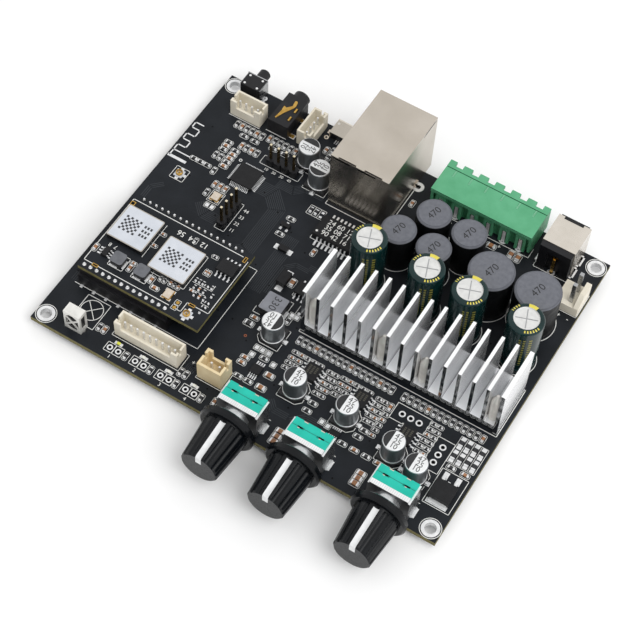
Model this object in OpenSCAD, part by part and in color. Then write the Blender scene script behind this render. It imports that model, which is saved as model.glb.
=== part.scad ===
// Audio amplifier board: a populated circuit board with a finned heatsink,
// three volume and tone controls, a plug-in wireless module and rear connectors.
// Millimetres. X runs along the front edge, Y from the front to the back, Z up.
// The origin is the centre of the four mounting holes, on the board's underside.

/* [Board] */
// Width of the board, along its front edge
board_w = 125; // [124:0.5:130]
// Depth of the board, front to back
board_d = 100; // [99:0.5:104]
// Thickness of the board
board_t = 1.6; // [1.2:0.1:2]
// Diameter of the mounting holes
mount_hole = 3.2; // [2.6:0.1:3.4]
// Distance of each mounting hole from the two edges beside it
mount_inset = 3; // [2.8:0.1:3.4]
// Length of trimmed lead under the board, on which it rests
lead_out = 2; // [1.6:0.1:2.4]
// Clearance around a lead in its hole
hole_clear = 0.15; // [0.1:0.05:0.2]

/* [Heatsink] */
// Width of the heatsink, across its fins
sink_w = 60; // [58:0.5:61]
// Depth of the heatsink, along its fins
sink_d = 16; // [14:0.5:17]
// Height of the fin tips above the board
sink_h = 19.5; // [15:0.5:24]
// Number of fins, an odd number
fin_n = 15; // [11:2:15]
// Thickness of an inner fin
fin_t = 0.95; // [0.7:0.05:1]
// Thickness of the two end fins, which stand on the board
end_fin_t = 1.15; // [0.9:0.05:1.3]
// Thickness of the plate under the fins
sink_base_t = 2.4; // [2:0.1:3]
// Length of the screws that hold the heatsink from below
screw_len = 16; // [12:1:18]

/* [Capacitors and inductors] */
// Diameter of the tall capacitors
cap_d = 10; // [8:0.5:10]
// Height of the tall capacitors
cap_h = 20; // [16:1:25]
// Diameter of the four small inductors
coil_d = 10; // [8:0.5:10.4]
// Height of the four small inductors
coil_h = 13; // [10:0.5:16]
// Diameter of the two large inductors
big_coil_d = 13; // [11:0.5:13]
// Height of the two large inductors
big_coil_h = 15; // [12:0.5:18]
// Diameter of the surface-mounted capacitor cans
can_d = 6.3; // [5:0.1:6.3]
// Height of the surface-mounted capacitors
can_h = 7.7; // [5.4:0.1:10]

/* [Controls] */
// Width of a potentiometer
pot_w = 11.2; // [10:0.1:11.6]
// Height of a potentiometer above the board
pot_h = 11; // [10.5:0.1:12]
// Height of the control shafts above the board
axis_h = 6.5; // [6:0.1:6.8]
// Diameter of the control shafts
shaft_d = 6; // [5:0.1:6]
// Diameter of the bushing around a shaft
bush_d = 7.5; // [7.2:0.1:7.8]
// Length of a knob
knob_len = 14.5; // [13:0.5:17]
// Diameter of a knob's skirt
skirt_d = 16; // [15:0.2:16.4]
// Diameter of a knob's body at the skirt
knob_d = 12.8; // [12:0.2:13.2]
// Diameter of a knob's body at its face
knob_face_d = 10.8; // [10:0.2:11.4]
// Number of flutes around a knob
flute_n = 14; // [8:1:16]
// Running clearance around a turning shaft and the push button
run_clear = 0.05; // [0.02:0.01:0.08]

/* [Plug-in module] */
// Width of the module's board
module_w = 38.5; // [38:0.5:40]
// Depth of the module's board
module_d = 28.3; // [28:0.1:29]
// Thickness of the module's board
module_t = 1.2; // [0.8:0.1:1.6]
// Height of the sockets on the main board
socket_h = 4.4; // [3.5:0.1:6]
// Height of the pin strips under the module
strip_h = 2.4; // [2:0.1:3]

/* [Rear connectors] */
// Width of the network jack
net_w = 18.3; // [17.5:0.1:18.5]
// Height of the network jack
net_h = 21.6; // [21:0.1:24]
// Height of the speaker terminal block
term_h = 8.6; // [8.4:0.1:10]
// Spacing of the speaker terminals
term_pitch = 5.08; // [5:0.04:5.08]
// Height of the power jack
dc_h = 10.75; // [10.5:0.25:12]
// Bore of the power jack
dc_bore = 6.4; // [6:0.1:6.6]
// Bore of the audio jack
audio_bore = 3.6; // [3.5:0.1:3.8]
// Travel of the push button
button_travel = 0.25; // [0.2:0.05:0.4]

/* [Hidden] */
$fn = 48;
front = -board_d / 2;
back = board_d / 2;
left = -board_w / 2;
right = board_w / 2;
top = board_t;
mate = 0.02;
cut = 1;

// Colours of the materials
black_plastic = "#1b1c1e";
mask_black = "#222326";
grey_ferrite = "#606268";
sleeve_green = "#12413f";
bare_metal = "#b9babc";
nickel = "#c3bcb2";
gold = "#c9a24a";
cream = "#d9d2c0";
tan_nylon = "#b9a781";
pot_green = "#35b79c";
term_green = "#5fae7f";

// Positions along a line, centred on a point
function across(x, y, n, pitch) = [for (i = [0:n - 1]) [x + (i - (n - 1) / 2) * pitch, y]];
function along(x, y, n, pitch) = [for (i = [0:n - 1]) [x, y + (i - (n - 1) / 2) * pitch]];
function flat(lists) = [for (l = lists, p = l) p];
function both(points, dx) = [for (p = points, s = [-1, 1]) [p[0] + s * dx, p[1]]];

// Mounting holes and spare plated holes
mount_x = board_w / 2 - mount_inset;
mount_y = board_d / 2 - mount_inset;
mount_points = [for (sx = [-1, 1], sy = [-1, 1]) [sx * mount_x, sy * mount_y]];
lamp_x = [-37.7, -29.6, -21.55, -13.6];
lamp_hole_pitch = 2.68;
lamp_holes = flat([for (x = lamp_x) across(x, front + 3.5, 2, lamp_hole_pitch)]);
header_pitch = 2.54;
spare_holes = concat(
  across(right - 22.9, -22.2, 3, header_pitch), along(right - 11.6, -27.7, 3, header_pitch)
);
lamp_hole = 0.9;
spare_hole = 1.1;

// Heatsink, its screws and what lies under it
sink_x = right - 31.55;
sink_y = -6.65;
chip_t = 1.2;
pad_t = 0.4;
sink_lift = chip_t + pad_t;
floor_top = sink_lift + sink_base_t;
fin_pitch = (sink_w - end_fin_t) / (fin_n - 1);
fillet = 0.4;
gap_n = fin_n - 1;
screw_gaps = [0, gap_n / 2 - 2, gap_n / 2 + 1, gap_n - 1];
screw_y = sink_y - sink_d / 2 + 2.7;
screw_points = [for (g = screw_gaps) [sink_x - sink_w / 2 + end_fin_t / 2 + (g + 0.5) * fin_pitch, screw_y]];
screw_d = 3;
screw_tip_l = 2.2;
screw_tip_d = 0.8;
screw_head_d = 5.6;
screw_hole = 3.4;
amp_points = [[sink_x - 14.5, sink_y + 1], [sink_x + 14.5, sink_y + 1]];
amp_w = 14;
amp_d = 6.1;
amp_lead_n = 11;

// Tall capacitors and inductors
cap_points = [[7.3, 9.1], [24.9, 9.1], [37.7, 9.1], [54.4, 9.3]];
cap_lead = 0.6;
cap_lead_gap = 2.5;
coil_points = [[10.4, 20.4], [16, 30.2], [21.4, 20.2], [27.3, 29.5]];
coil_lead = 0.8;
coil_lead_gap = 2.5;
big_coil_points = [[38.6, 20.8], [52.1, 21.9]];
big_coil_lead_gap = 3.75;

// Surface-mounted capacitors: place, and turn of the bevelled side
can_places = [
  [-26.6, 34.8, -90], [-20.2, 29.9, 90], [-4.4, -20.1, 180], [9.5, -31.4, 0],
  [25.2, -31.3, 0], [right - 21.8, front + 16, 0], [right - 13.75, front + 13.5, 0]
];
can_base_w = 6.6;
can_base_h = 1.1;

// Controls, drawn with the shaft along local Z from the front plate outwards
pot_x = [2.6, 22.4, 47.5];
pot_lift = 0.3;
plate_t = 1.4;
plate_y = front + 1;
wafer_t = 2.4;
arm_t = 0.5;
arm_lift = 0.8;
arm_drop = 0.9;
lug_w = 1.6;
lug_hole = 2.2;
lug_y = plate_y + 3.6;
pot_lead = 0.7;
pot_pitch = 2.5;
bush_len = 4.5;
knob_gap = 3.3;
skirt_t = 2.1;
knob_recess = 3;
knob_end = knob_gap + knob_len;
shaft_end = knob_end - 2.3;
shaft_root = -3.2;
flat_cut = 1.5;
flute_r = 1.1;
flute_depth = 0.42;
function wafer_mid(w) = plate_y + plate_t + (w + 0.5) * wafer_t;
function pot_pins(x) = flat([for (w = [0, 1]) across(x, wafer_mid(w), 3, pot_pitch)]);
function pot_lugs(x) = both([[x, lug_y]], pot_w / 2 + arm_t / 2);

// Plug-in module on two socket strips
module_x = left + 23.85;
module_y = -19.55;
module_z = top + socket_h + strip_h;
strip_pitch = 2;
socket_w = 3.6;
strip_w = 2;
pin_w = 0.5;
front_row = across(module_x - 4.9, module_y - module_d / 2 + 1.25, 14, strip_pitch);
back_row = across(module_x - 0.4, module_y + module_d / 2 - 0.75, 17, strip_pitch);
module_pin_points = concat(front_row, back_row);
shield_w = 11.6;
shield_h = 1.6;
shield_points = [[module_x - 12.35, module_y + 3.45], [module_x + 2.85, module_y + 0.75]];

// Network jack: a data port above a network port, both open at the back
net_x = -5.85;
net_front = back - 24;
net_back = back + 3.2;
net_d = net_back - net_front;
net_wall = 0.35;
port_w = 11.8;
port_h = 8;
port_z = 1.8;
port_d = 14;
latch_w = 6.2;
latch_h = 1.2;
data_w = 13.2;
data_h = 5.8;
data_z = 12.6;
data_d = 9.5;
tongue_w = 11.1;
tongue_h = 1.9;
net_pin = 0.5;
net_pins = concat(
  across(net_x, net_front + 3, 4, 2.5),
  across(net_x - 0.51, net_front + 5.5, 4, 2.04),
  across(net_x + 0.51, net_front + 8, 4, 2.04)
);
net_peg = 3;
net_pegs = both([[net_x, net_front + 15]], 5.7);
net_ear_w = 1.5;
net_ears = both([[net_x, back - 5.7]], net_w / 2 + 0.2);
net_ear_hole = 2;

// Small data socket beside the network jack
micro_x = -22.7;
micro_w = 7.5;
micro_d = 5.6;
micro_h = 2.6;
micro_wall = 0.3;
micro_back = back + 1.4;

// Audio jack
audio_x = -39.55;
audio_w = 6.5;
audio_h = 5;
audio_front = back - 11.4;
audio_back = back + 0.2;
nose_d = 5;
nose_len = 2.2;
audio_depth = 11.2;

// Push button lying on its side
button_x = -52.9;
button_w = 6.1;
button_d = 4.7;
button_h = 6.5;
button_back = back - 0.9;
button_front = button_back - button_d;
button_sheet = 0.3;
plunger_d = 3.5;
plunger_z = top + 3.6;
plunger_root = button_back - 2.4;
plunger_tip = back + 3.6;
button_lead = 0.7;
button_pins = across(button_x, button_front + 1.2, 2, 4.5);
button_lugs = both([[button_x, button_back - 2.2]], button_w / 2 + button_sheet / 2);

// Six-way speaker terminal block
term_x = 25.65;
term_n = 6;
term_w = (term_n - 1) * term_pitch + 6.4;
term_back = back + 2;
term_lip = term_back - 11.9;
term_front = term_lip + 1.9;
term_wall = 1.15;
term_floor = term_front + 1.6;
term_pin_w = 1;
term_pin_y = term_lip + 1.1;
term_pin_z = top + 4.2;
term_pins_at = across(term_x, term_pin_y, term_n, term_pitch);
leg_w = 3.1;
leg_h = 6.5;
window_w = 1.5;
castle_w = 2.3;
castle_d = 1.5;

// Barrel power jack
dc_x = 49.55;
dc_w = 10;
dc_front = back - 11.6;
dc_back = back + 0.3;
dc_sheet = 0.25;
dc_body_w = dc_w - 2 * dc_sheet;
dc_axis = 6.2;
dc_depth = 9.2;
dc_pin_d = 2;
dc_cover_front = dc_front + 2;
dc_lug_y = [dc_cover_front + 1.6, dc_cover_front + 6.2];
dc_lug_w = 2.2;
dc_slot_w = 1.2;
dc_tail = [dc_x, dc_front + 0.5];
dc_tail_w = 0.8;
dc_tail_hole = 1.6;
dc_pocket_w = 4.4;
dc_pocket_d = 1.2;
dc_lip = 0.5;
dc_lip_w = 8.6;
dc_notch_w = 5.9;
dc_notch_d = 0.85;

// Two-way power header with a locking wall
vin_x = right - 4;
vin_y = 33.4;
vin_w = 7;
vin_d = 7.9;
vin_base = 3.2;
vin_pin_w = 1.1;
vin_pin_top = 11.2;
vin_pin_x = vin_x + 0.5;
vin_pins = along(vin_pin_x, vin_y, 2, 3.96);
vin_lock_t = 1.4;
vin_lock_h = 7;

// Wire connectors: place, ways and turn of the open side
wire_pitch = 2;
wire_d = 4.5;
wire_h = 6;
wire_wall = 0.6;
wire_floor = 1.6;
wire_end = 2;
wire_pin_w = 0.5;
wire_pin_top = 4.6;
wire_row = [
  [-30.3, front + 9.9, 9, 0],
  [-50.15, back - 10, 4, 0],
  [-31.1, back - 6.1, 4, 90]
];
aux_at = [-10.8, front + 11.2];
aux_pitch = 2.5;
aux_w = 7.4;
aux_d = 5.6;
aux_h = 7;
aux_pin_y = aux_at[1] + 0.6;
aux_pins = across(aux_at[0], aux_pin_y, 2, aux_pitch);
function wire_pins(c) = c[3] == 0 ? across(c[0], c[1], c[2], wire_pitch)
                                  : along(c[0], c[1], c[2], wire_pitch);
wire_pin_points = concat(flat([for (c = wire_row) wire_pins(c)]), aux_pins);

// Bare pin headers
header_n = 4;
header_w = 2.5;
header_pin_w = 0.64;
header_pin_top = 8.7;
header_places = [[-31.8, 28.7, 0], [-35.6, 6.7, 90]];
function header_pins(c) = c[2] == 0 ? across(c[0], c[1], header_n, header_pitch)
                                    : along(c[0], c[1], header_n, header_pitch);
header_pin_points = flat([for (c = header_places) header_pins(c)]);

// Infrared receiver in a sheet-metal cage
eye_x = -50.3;
eye_y = front + 4.1;
eye_w = 5.2;
eye_d = 3.2;
eye_h = 7.8;
eye_sheet = 0.3;
eye_window = 4.1;
eye_window_low = top + 0.7 + eye_window / 2;
eye_window_high = top + eye_h - 0.7 - eye_window / 2;
eye_bar = 0.5;
eye_side_low = 1.6;
eye_side_high = 6.6;
eye_side_d = 1.7;
eye_body_w = 4.4;
eye_body_d = 2;
eye_lens_r = 2.4;
eye_lead = 0.5;
eye_pins = across(eye_x, eye_y + 0.3, 3, 1.27);
eye_lug_w = 1;
eye_lugs = both([[eye_x, eye_y]], eye_w / 2 - eye_sheet / 2);
eye_lug_hole = 1.3;

// Chips and diodes: place in plan, width, depth, height and the height of the board under it
chip_packages_at = [
  [-38.6, 20.4, 7, 7, 1.4, top],
  [10.6, -24.6, 4, 5, 1.5, top],
  [25.8, -24.7, 4, 5, 1.5, top],
  [right - 21.3, -27.5, 4, 5, 1.5, top],
  [module_x + 15.55, module_y + 6.25, 5.2, 4, 1.5, module_z + module_t],
  [right - 5.1, front + 13, 6, 5.4, 2.3, top],
  [-6.2, 17, 12.6, 7.2, 2, top],
  [-4.2, -3.7, 4.9, 3.9, 1.5, top],
  [-2.3, -31.6, 2.8, 2.8, 0.8, top],
  [-11.1, -3.5, 2.6, 4.3, 2.2, top],
  [-16.8, 5.2, 2.8, 1.7, 1.1, top]
];
choke_at = [-8.5, -12.9];
choke_w = 6.3;
choke_h = 3;
choke_r = 0.4;
module_choke_w = 3.8;
module_choke_h = 1.9;
module_chokes = [[module_x - 10.55, module_y - 7.25], [module_x - 3.05, module_y - 7.25]];

// Sizes of the small chip parts, lying along X or along Y
tiny_x = [1, 0.6, 0.4];
small_x = [1.6, 0.8, 0.45];
small_y = [0.8, 1.6, 0.45];
large_x = [2, 1.25, 0.65];
large_y = [1.25, 2, 0.65];

// Rows of small chip parts: start, count, step and size of one
chip_rows = [
  [[2.5, -17.4], 17, [1.79, 0], small_y],
  [[right - 27.5, -17.4], 14, [1.815, 0], small_y],
  [[right - 8, -21.6], 4, [2.03, 0], large_y],
  [[right - 8, -25.9], 4, [2.03, 0], large_y],
  [[3.6, -21.2], 5, [1.95, 0], tiny_x],
  [[3.6, -23.2], 3, [0, -1.75], tiny_x],
  [[14.6, -21.6], 5, [0, -1.87], tiny_x],
  [[16.4, -21.6], 5, [0, -1.87], tiny_x],
  [[18.8, -21.2], 5, [1.95, 0], tiny_x],
  [[18.8, -23.2], 3, [0, -1.75], tiny_x],
  [[29.8, -21.6], 5, [0, -1.87], tiny_x],
  [[31.6, -21.6], 5, [0, -1.87], tiny_x],
  [[right - 29.1, -24.8], 5, [0, -1.8], tiny_x],
  [[right - 16.9, -20.4], 6, [0, -1.86], tiny_x],
  [[right - 15, -20.4], 6, [0, -1.86], tiny_x],
  [[28.2, front + 11.8], 4, [3.6, 0], small_x],
  [[12.9, front + 2.7], 3, [0, 1.7], large_x],
  [[36.8, front + 3.6], 3, [0, 1.6], large_x],
  [[1.5, -31.2], 2, [0, -4.3], large_x],
  [[-2.4, -35.6], 2, [-3.1, 0], small_x],
  [[-7, -29.8], 2, [0, -1.8], small_x],
  [[-8.8, -2.9], 1, [0, 0], large_y],
  [[-11.9, -20.2], 1, [0, 0], large_x],
  [[-11.5, -17.9], 1, [0, 0], small_x],
  [[-9.2, 8.9], 1, [0, 0], small_y],
  [[-17.3, 21], 2, [1.7, 0], small_y],
  [[-51.2, 35.4], 6, [1.68, 0], small_y],
  [[-40.5, 36], 6, [1.76, 0], small_y],
  [[-45.9, 29.4], 4, [1.7, 0], small_y],
  [[-46.4, 26.8], 5, [0, -1.6], small_x],
  [[-49.7, 28.5], 3, [0, -1.55], small_x],
  [[-44.9, 13.8], 3, [1.75, 0], small_y],
  [[-54.9, 18.2], 3, [2.2, 0], small_x],
  [[-37.6, front + 5.6], 4, [8.04, 0], small_x],
  [[-33.9, front + 3.4], 4, [7.97, 0], small_y],
  [[-44.9, front + 7.2], 2, [1.65, 0], small_y],
  [[-18.9, front + 7.2], 2, [1.65, 0], small_y],
  [[5.6, 38.3], 1, [0, 0], small_y],
  [[31.3, 37.6], 1, [0, 0], large_x],
  [[37.4, 38], 2, [2.2, 0], large_y]
];

// Helpers: a block on a foot height, a rod, leads through the board and round holes
module block(x, y, z, w, d, h) {
  translate([x - w / 2, y - d / 2, z]) cube([w, d, h]);
}
module rod(x, y, z, dia, h) {
  translate([x, y, z]) cylinder(d = dia, h = h);
}
module round_leads(points, dia, z_end) {
  for (p = points) rod(p[0], p[1], -lead_out, dia, z_end + lead_out);
}
module square_leads(points, w, z_end) {
  for (p = points) block(p[0], p[1], -lead_out, w, w, z_end + lead_out);
}
module holes(points, dia) {
  for (p = points) rod(p[0], p[1], -cut, dia, board_t + 2 * cut);
}
module slot(x, y, w, d) {
  block(x, y, -cut, w, d - w, board_t + 2 * cut);
  holes([[x, y - (d - w) / 2], [x, y + (d - w) / 2]], w);
}
module rounded_plate(w, d, r) {
  square([w - 2 * r, d], center = true);
  square([w, d - 2 * r], center = true);
  for (sx = [-1, 1], sy = [-1, 1]) translate([sx * (w / 2 - r), sy * (d / 2 - r)]) circle(r);
}
// Turns a shape drawn along Z so that it points backwards, with local Y up
module point_back(x, y, z) {
  translate([x, y, z]) mirror([0, 1, 0]) rotate([90, 0, 0]) children();
}
function lead_hole(w) = w + 2 * hole_clear;
function square_hole(w) = w * sqrt(2) + 2 * hole_clear;

// Board with every drilled hole
module pcb() color(mask_black) difference() {
  translate([left, front, 0]) cube([board_w, board_d, board_t]);
  holes(mount_points, mount_hole);
  holes(screw_points, screw_hole);
  holes(lamp_holes, lamp_hole);
  holes(spare_holes, spare_hole);
  holes(both(cap_points, cap_lead_gap), lead_hole(cap_lead));
  holes(both(coil_points, coil_lead_gap), lead_hole(coil_lead));
  holes(both(big_coil_points, big_coil_lead_gap), lead_hole(coil_lead));
  for (x = pot_x) holes(pot_pins(x), lead_hole(pot_lead));
  for (x = pot_x) holes(pot_lugs(x), lug_hole);
  holes(net_pins, square_hole(net_pin));
  holes(net_pegs, lead_hole(net_peg));
  holes(net_ears, net_ear_hole);
  holes(button_pins, lead_hole(button_lead));
  holes(button_lugs, lug_hole);
  holes(term_pins_at, square_hole(term_pin_w));
  holes([dc_tail], dc_tail_hole);
  for (s = [-1, 1], y = dc_lug_y) slot(dc_x + s * (dc_w - dc_sheet) / 2, y, dc_slot_w, dc_lug_w + 1);
  holes(vin_pins, square_hole(vin_pin_w));
  holes(wire_pin_points, square_hole(wire_pin_w));
  holes(header_pin_points, square_hole(header_pin_w));
  holes(eye_pins, lead_hole(eye_lead));
  holes(eye_lugs, eye_lug_hole);
}

// Fillet in the corner where a fin meets the plate, on the side that s names
module fin_root(x, s) {
  translate([x, floor_top]) difference() {
    translate([s > 0 ? 0 : -fillet, 0]) square(fillet);
    translate([s * fillet, fillet]) circle(fillet);
  }
}
// Section of the heatsink: plate, inner fins, and end fins down to the board
module sink_section() {
  translate([-sink_w / 2, sink_lift]) square([sink_w, sink_base_t]);
  for (s = [-1, 1]) {
    translate([s * (sink_w - end_fin_t) / 2 - end_fin_t / 2, 0]) square([end_fin_t, sink_h]);
    fin_root(s * (sink_w / 2 - end_fin_t), -s);
  }
  for (i = [1:fin_n - 2]) {
    x = (i - (fin_n - 1) / 2) * fin_pitch;
    translate([x - fin_t / 2, sink_lift]) square([fin_t, sink_h - sink_lift]);
    fin_root(x - fin_t / 2, -1);
    fin_root(x + fin_t / 2, 1);
  }
}
module heatsink() color(bare_metal) difference() {
  translate([sink_x, sink_y + sink_d / 2, top]) rotate([90, 0, 0]) linear_extrude(sink_d) sink_section();
  for (p = screw_points) rod(p[0], p[1], top, screw_d + 2 * mate, floor_top + cut);
}

// Screws from below, heads against the underside of the board
module heatsink_screws() color(bare_metal) for (p = screw_points) difference() {
  union() {
    rod(p[0], p[1], 0, screw_d, screw_len - screw_tip_l);
    translate([p[0], p[1], screw_len - screw_tip_l])
      cylinder(d1 = screw_d, d2 = screw_tip_d, h = screw_tip_l);
    translate([p[0], p[1], -lead_out]) cylinder(d = screw_head_d, h = lead_out);
  }
  for (w = [[2.8, 0.7], [0.7, 2.8]]) block(p[0], p[1], -lead_out - cut, w[0], w[1], cut + 1.1);
}

// Amplifier chips with their lead rows, and the pads that carry heat to the plate
module amplifier_chips() color(black_plastic) for (p = amp_points) {
  block(p[0], p[1], top, amp_w, amp_d, chip_t);
  for (q = across(p[0], p[1], amp_lead_n, 1.2), s = [-1, 1])
    block(q[0], q[1] + s * (amp_d / 2 + 0.5), top, 0.35, 1, 0.2);
}
module thermal_pads() color("#8f9aa3") for (p = amp_points)
  block(p[0], p[1], top + chip_t, amp_w - 1, amp_d - 0.6, pad_t);

// Drum inductor: sleeve with a chamfered foot, and the core's end in its top
module inductor(p, d, h, lead_gap) {
  r = d / 2;
  translate([p[0], p[1], top]) rotate_extrude() polygon([
    [0, 0], [r - 0.4, 0], [r, 0.5], [r, h - 0.45],
    [r - 0.3, h - 0.15], [r - 0.55, h - 0.15], [r - 0.62, h], [0, h]
  ]);
  round_leads(both([p], lead_gap), coil_lead, top + 0.1);
}
module filter_inductor(i) color(grey_ferrite)
  inductor(coil_points[i], coil_d, coil_h, coil_lead_gap);
module bass_inductor(i) color(grey_ferrite)
  inductor(big_coil_points[i], big_coil_d, big_coil_h, big_coil_lead_gap);

// Tall capacitor: rolled shoulder, crimp near the foot, bare end with a cross vent
module cap_section() {
  r = cap_d / 2;
  shoulder = 0.9;
  difference() {
    union() {
      square([r - shoulder, cap_h]);
      square([r, cap_h - shoulder]);
      translate([r - shoulder, cap_h - shoulder]) circle(shoulder);
    }
    translate([0, cap_h - 0.3]) square([r * 0.7, cut]);
    translate([r + 0.25, 1.9]) circle(0.5);
  }
}
module bulk_capacitor(i) {
  p = cap_points[i];
  color(sleeve_green) difference() {
    union() {
      translate([p[0], p[1], top]) rotate_extrude() cap_section();
      round_leads(both([p], cap_lead_gap), cap_lead, top + 0.1);
    }
    for (a = [20, 110]) translate([p[0], p[1], top + cap_h - 0.45]) rotate(a)
      block(0, 0, 0, cap_d * 0.6, 0.3, cut);
  }
}

// Surface-mounted capacitor cans on chamfered square feet, with a solder tab each side
module smd_capacitor() {
  h = can_base_w / 2;
  bevel = 1.5;
  edge = 0.5;
  linear_extrude(can_base_h) polygon([
    [-h, -h], [h - bevel, -h], [h, bevel - h], [h, h - bevel], [h - bevel, h], [-h, h]
  ]);
  translate([0, 0, can_base_h]) rotate_extrude() {
    square([can_d / 2 - edge, can_h - can_base_h]);
    square([can_d / 2, can_h - can_base_h - edge]);
    translate([can_d / 2 - edge, can_h - can_base_h - edge]) circle(edge);
  }
  for (s = [-1, 1]) block(s * (h + 0.3), 0, 0, 0.6, 0.9, 0.25);
}
module smd_capacitors() color(bare_metal) for (c = can_places)
  translate([c[0], c[1], top]) rotate(c[2]) smd_capacitor();

// Puts a control's local frame on its shaft axis at the face of the front plate
module on_control(i) {
  translate([pot_x[i], plate_y, top + axis_h]) rotate([90, 0, 0]) children();
}
// Green resistor wafers, two behind each other, with a hollow for the shaft's root
module pot_housing(i) {
  x = pot_x[i];
  wafer_y = plate_y + plate_t;
  color(pot_green) difference() {
    union() {
      translate([x - pot_w / 2, wafer_y, top + pot_lift]) cube([pot_w, wafer_t, pot_h - pot_lift]);
      translate([x - pot_w / 2, wafer_y + wafer_t, top + pot_lift])
        cube([pot_w, wafer_t, pot_h - pot_lift - 0.3]);
    }
    for (s = [-1, 1]) block(x + s * 2.6, wafer_y + wafer_t, top + pot_h - 0.7, 1.4, 0.7, cut);
    for (s = [-1, 1]) block(x + s * 2.6, wafer_y + 2 * wafer_t, top + pot_h - 0.9, 1.2, 0.5, cut);
    on_control(i) translate([0, 0, shaft_root - 0.1]) cylinder(d = shaft_d + 2 * run_clear, h = -shaft_root);
  }
}
// Metal front plate with its bushing, side arms with lugs, and the six terminals
module pot_frame(i) {
  x = pot_x[i];
  color(bare_metal) {
    difference() {
      union() {
        translate([x - pot_w / 2, plate_y, top + pot_lift]) cube([pot_w, plate_t, pot_h - pot_lift]);
        on_control(i) cylinder(d = bush_d, h = bush_len);
      }
      on_control(i) translate([0, 0, -plate_t - cut])
        cylinder(d = shaft_d + 2 * run_clear, h = plate_t + bush_len + 2 * cut);
    }
    for (p = pot_lugs(x)) {
      translate([p[0] - arm_t / 2, plate_y, top + arm_lift])
        cube([arm_t, plate_t + 2 * wafer_t, pot_h - arm_lift - arm_drop]);
      block(p[0], p[1], -lead_out, arm_t, lug_w, top + 2 + lead_out);
    }
    round_leads(pot_pins(x), pot_lead, top + pot_lift);
  }
}
// Shaft with a flat along the length that lies inside the knob's bore
module shaft_form(dia, z0, z1) {
  difference() {
    translate([0, 0, z0]) cylinder(d = dia, h = z1 - z0);
    translate([-dia, dia / 2 - flat_cut, knob_gap + knob_recess]) cube([2 * dia, dia, knob_len]);
  }
}
module pot_shaft(i) color(bare_metal) on_control(i) shaft_form(shaft_d, shaft_root, shaft_end);
// Fluted, tapered knob with a skirt, a hollow for the bushing and a flatted bore
module knob(i) {
  z0 = knob_gap;
  z1 = knob_gap + skirt_t;
  r0 = knob_d / 2;
  r1 = knob_face_d / 2;
  taper = atan((r0 - r1) / (knob_end - z1));
  flute_len = knob_end - z1;
  color(black_plastic) on_control(i) difference() {
    rotate_extrude() polygon([
      [0, z0], [skirt_d / 2 - 0.3, z0], [skirt_d / 2, z0 + 0.3],
      [skirt_d / 2, z1 - 0.5], [skirt_d / 2 - 0.5, z1], [r0, z1],
      [r1 + 0.03, knob_end - 0.4], [r1 - 0.4, knob_end], [0, knob_end]
    ]);
    translate([0, 0, z0 - cut]) cylinder(d = bush_d + 1, h = cut + knob_recess);
    shaft_form(shaft_d + 2 * mate, z0, shaft_end + 0.1);
    for (k = [0:flute_n - 1]) rotate((k + 0.5) * 360 / flute_n)
      translate([r0 + flute_r - flute_depth, 0, z1 + 0.4]) rotate([0, -taper, 0])
        cylinder(r = flute_r, h = flute_len + cut);
  }
}

// Plug-in module: sockets on the main board, strips and pins, board and shield cans
module strips(w, z, h, spare) {
  for (row = [front_row, back_row]) difference() {
    n = len(row);
    mid = (row[0] + row[n - 1]) / 2;
    block(mid[0], mid[1], z, n * strip_pitch + 0.4, w, h);
    for (p = row) block(p[0], p[1], z - cut, pin_w + spare, pin_w + spare, h + 2 * cut);
  }
}
module module_sockets() color(black_plastic) strips(socket_w, top, socket_h, 2 * mate);
module module_headers() color(black_plastic) strips(strip_w, top + socket_h, strip_h, 2 * mate);
module module_pins() color(gold) for (p = module_pin_points)
  block(p[0], p[1], top + 1, pin_w, pin_w, module_z + module_t + 0.5 - top - 1);
module module_board() color(mask_black) difference() {
  block(module_x, module_y, module_z, module_w, module_d, module_t);
  for (p = module_pin_points) rod(p[0], p[1], module_z - cut, square_hole(pin_w), module_t + 2 * cut);
}
module module_shields() color(bare_metal) for (p = shield_points)
  translate([p[0], p[1], module_z + module_t])
    linear_extrude(shield_h) rounded_plate(shield_w, shield_w, 0.5);

// The two port openings of the network jack, from the back face inwards
module net_ports(extra) {
  translate([net_x - port_w / 2, net_back - port_d, top + port_z]) cube([port_w, port_d + extra, port_h]);
  translate([net_x - latch_w / 2, net_back - port_d, top + port_z - latch_h])
    cube([latch_w, port_d + extra, 2 * latch_h]);
  translate([net_x - data_w / 2, net_back - data_d, top + data_z]) cube([data_w, data_d + extra, data_h]);
}
module network_jack_shield() color(nickel) {
  difference() {
    translate([net_x - net_w / 2, net_front, top]) cube([net_w, net_d, net_h]);
    translate([net_x - net_w / 2 + net_wall, net_front + net_wall, top - cut])
      cube([net_w - 2 * net_wall, net_d - 2 * net_wall, net_h - net_wall + cut]);
    net_ports(cut);
    for (x = [-4.1, 4.1]) block(net_x + x, net_front + 0.3, top + net_h - 0.7, 5.5, 0.5, 2 * cut);
    block(net_x + net_w / 2, back - 1, top + net_h - 0.8, 2 * cut, 7.2, 0.3);
  }
  for (p = net_ears) block(p[0], p[1], -lead_out, 0.4, net_ear_w, top + 2 + lead_out);
}
module network_jack_insulator() color(black_plastic) {
  difference() {
    translate([net_x - net_w / 2 + net_wall, net_front + net_wall, top])
      cube([net_w - 2 * net_wall, net_d - 2 * net_wall, net_h - net_wall]);
    net_ports(cut);
  }
  translate([net_x - tongue_w / 2, net_back - data_d, top + data_z + data_h - tongue_h - 0.9])
    cube([tongue_w, data_d - 0.8, tongue_h]);
  for (p = net_pegs) rod(p[0], p[1], 0.2 - board_t / 2, net_peg, top + board_t / 2);
}
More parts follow.
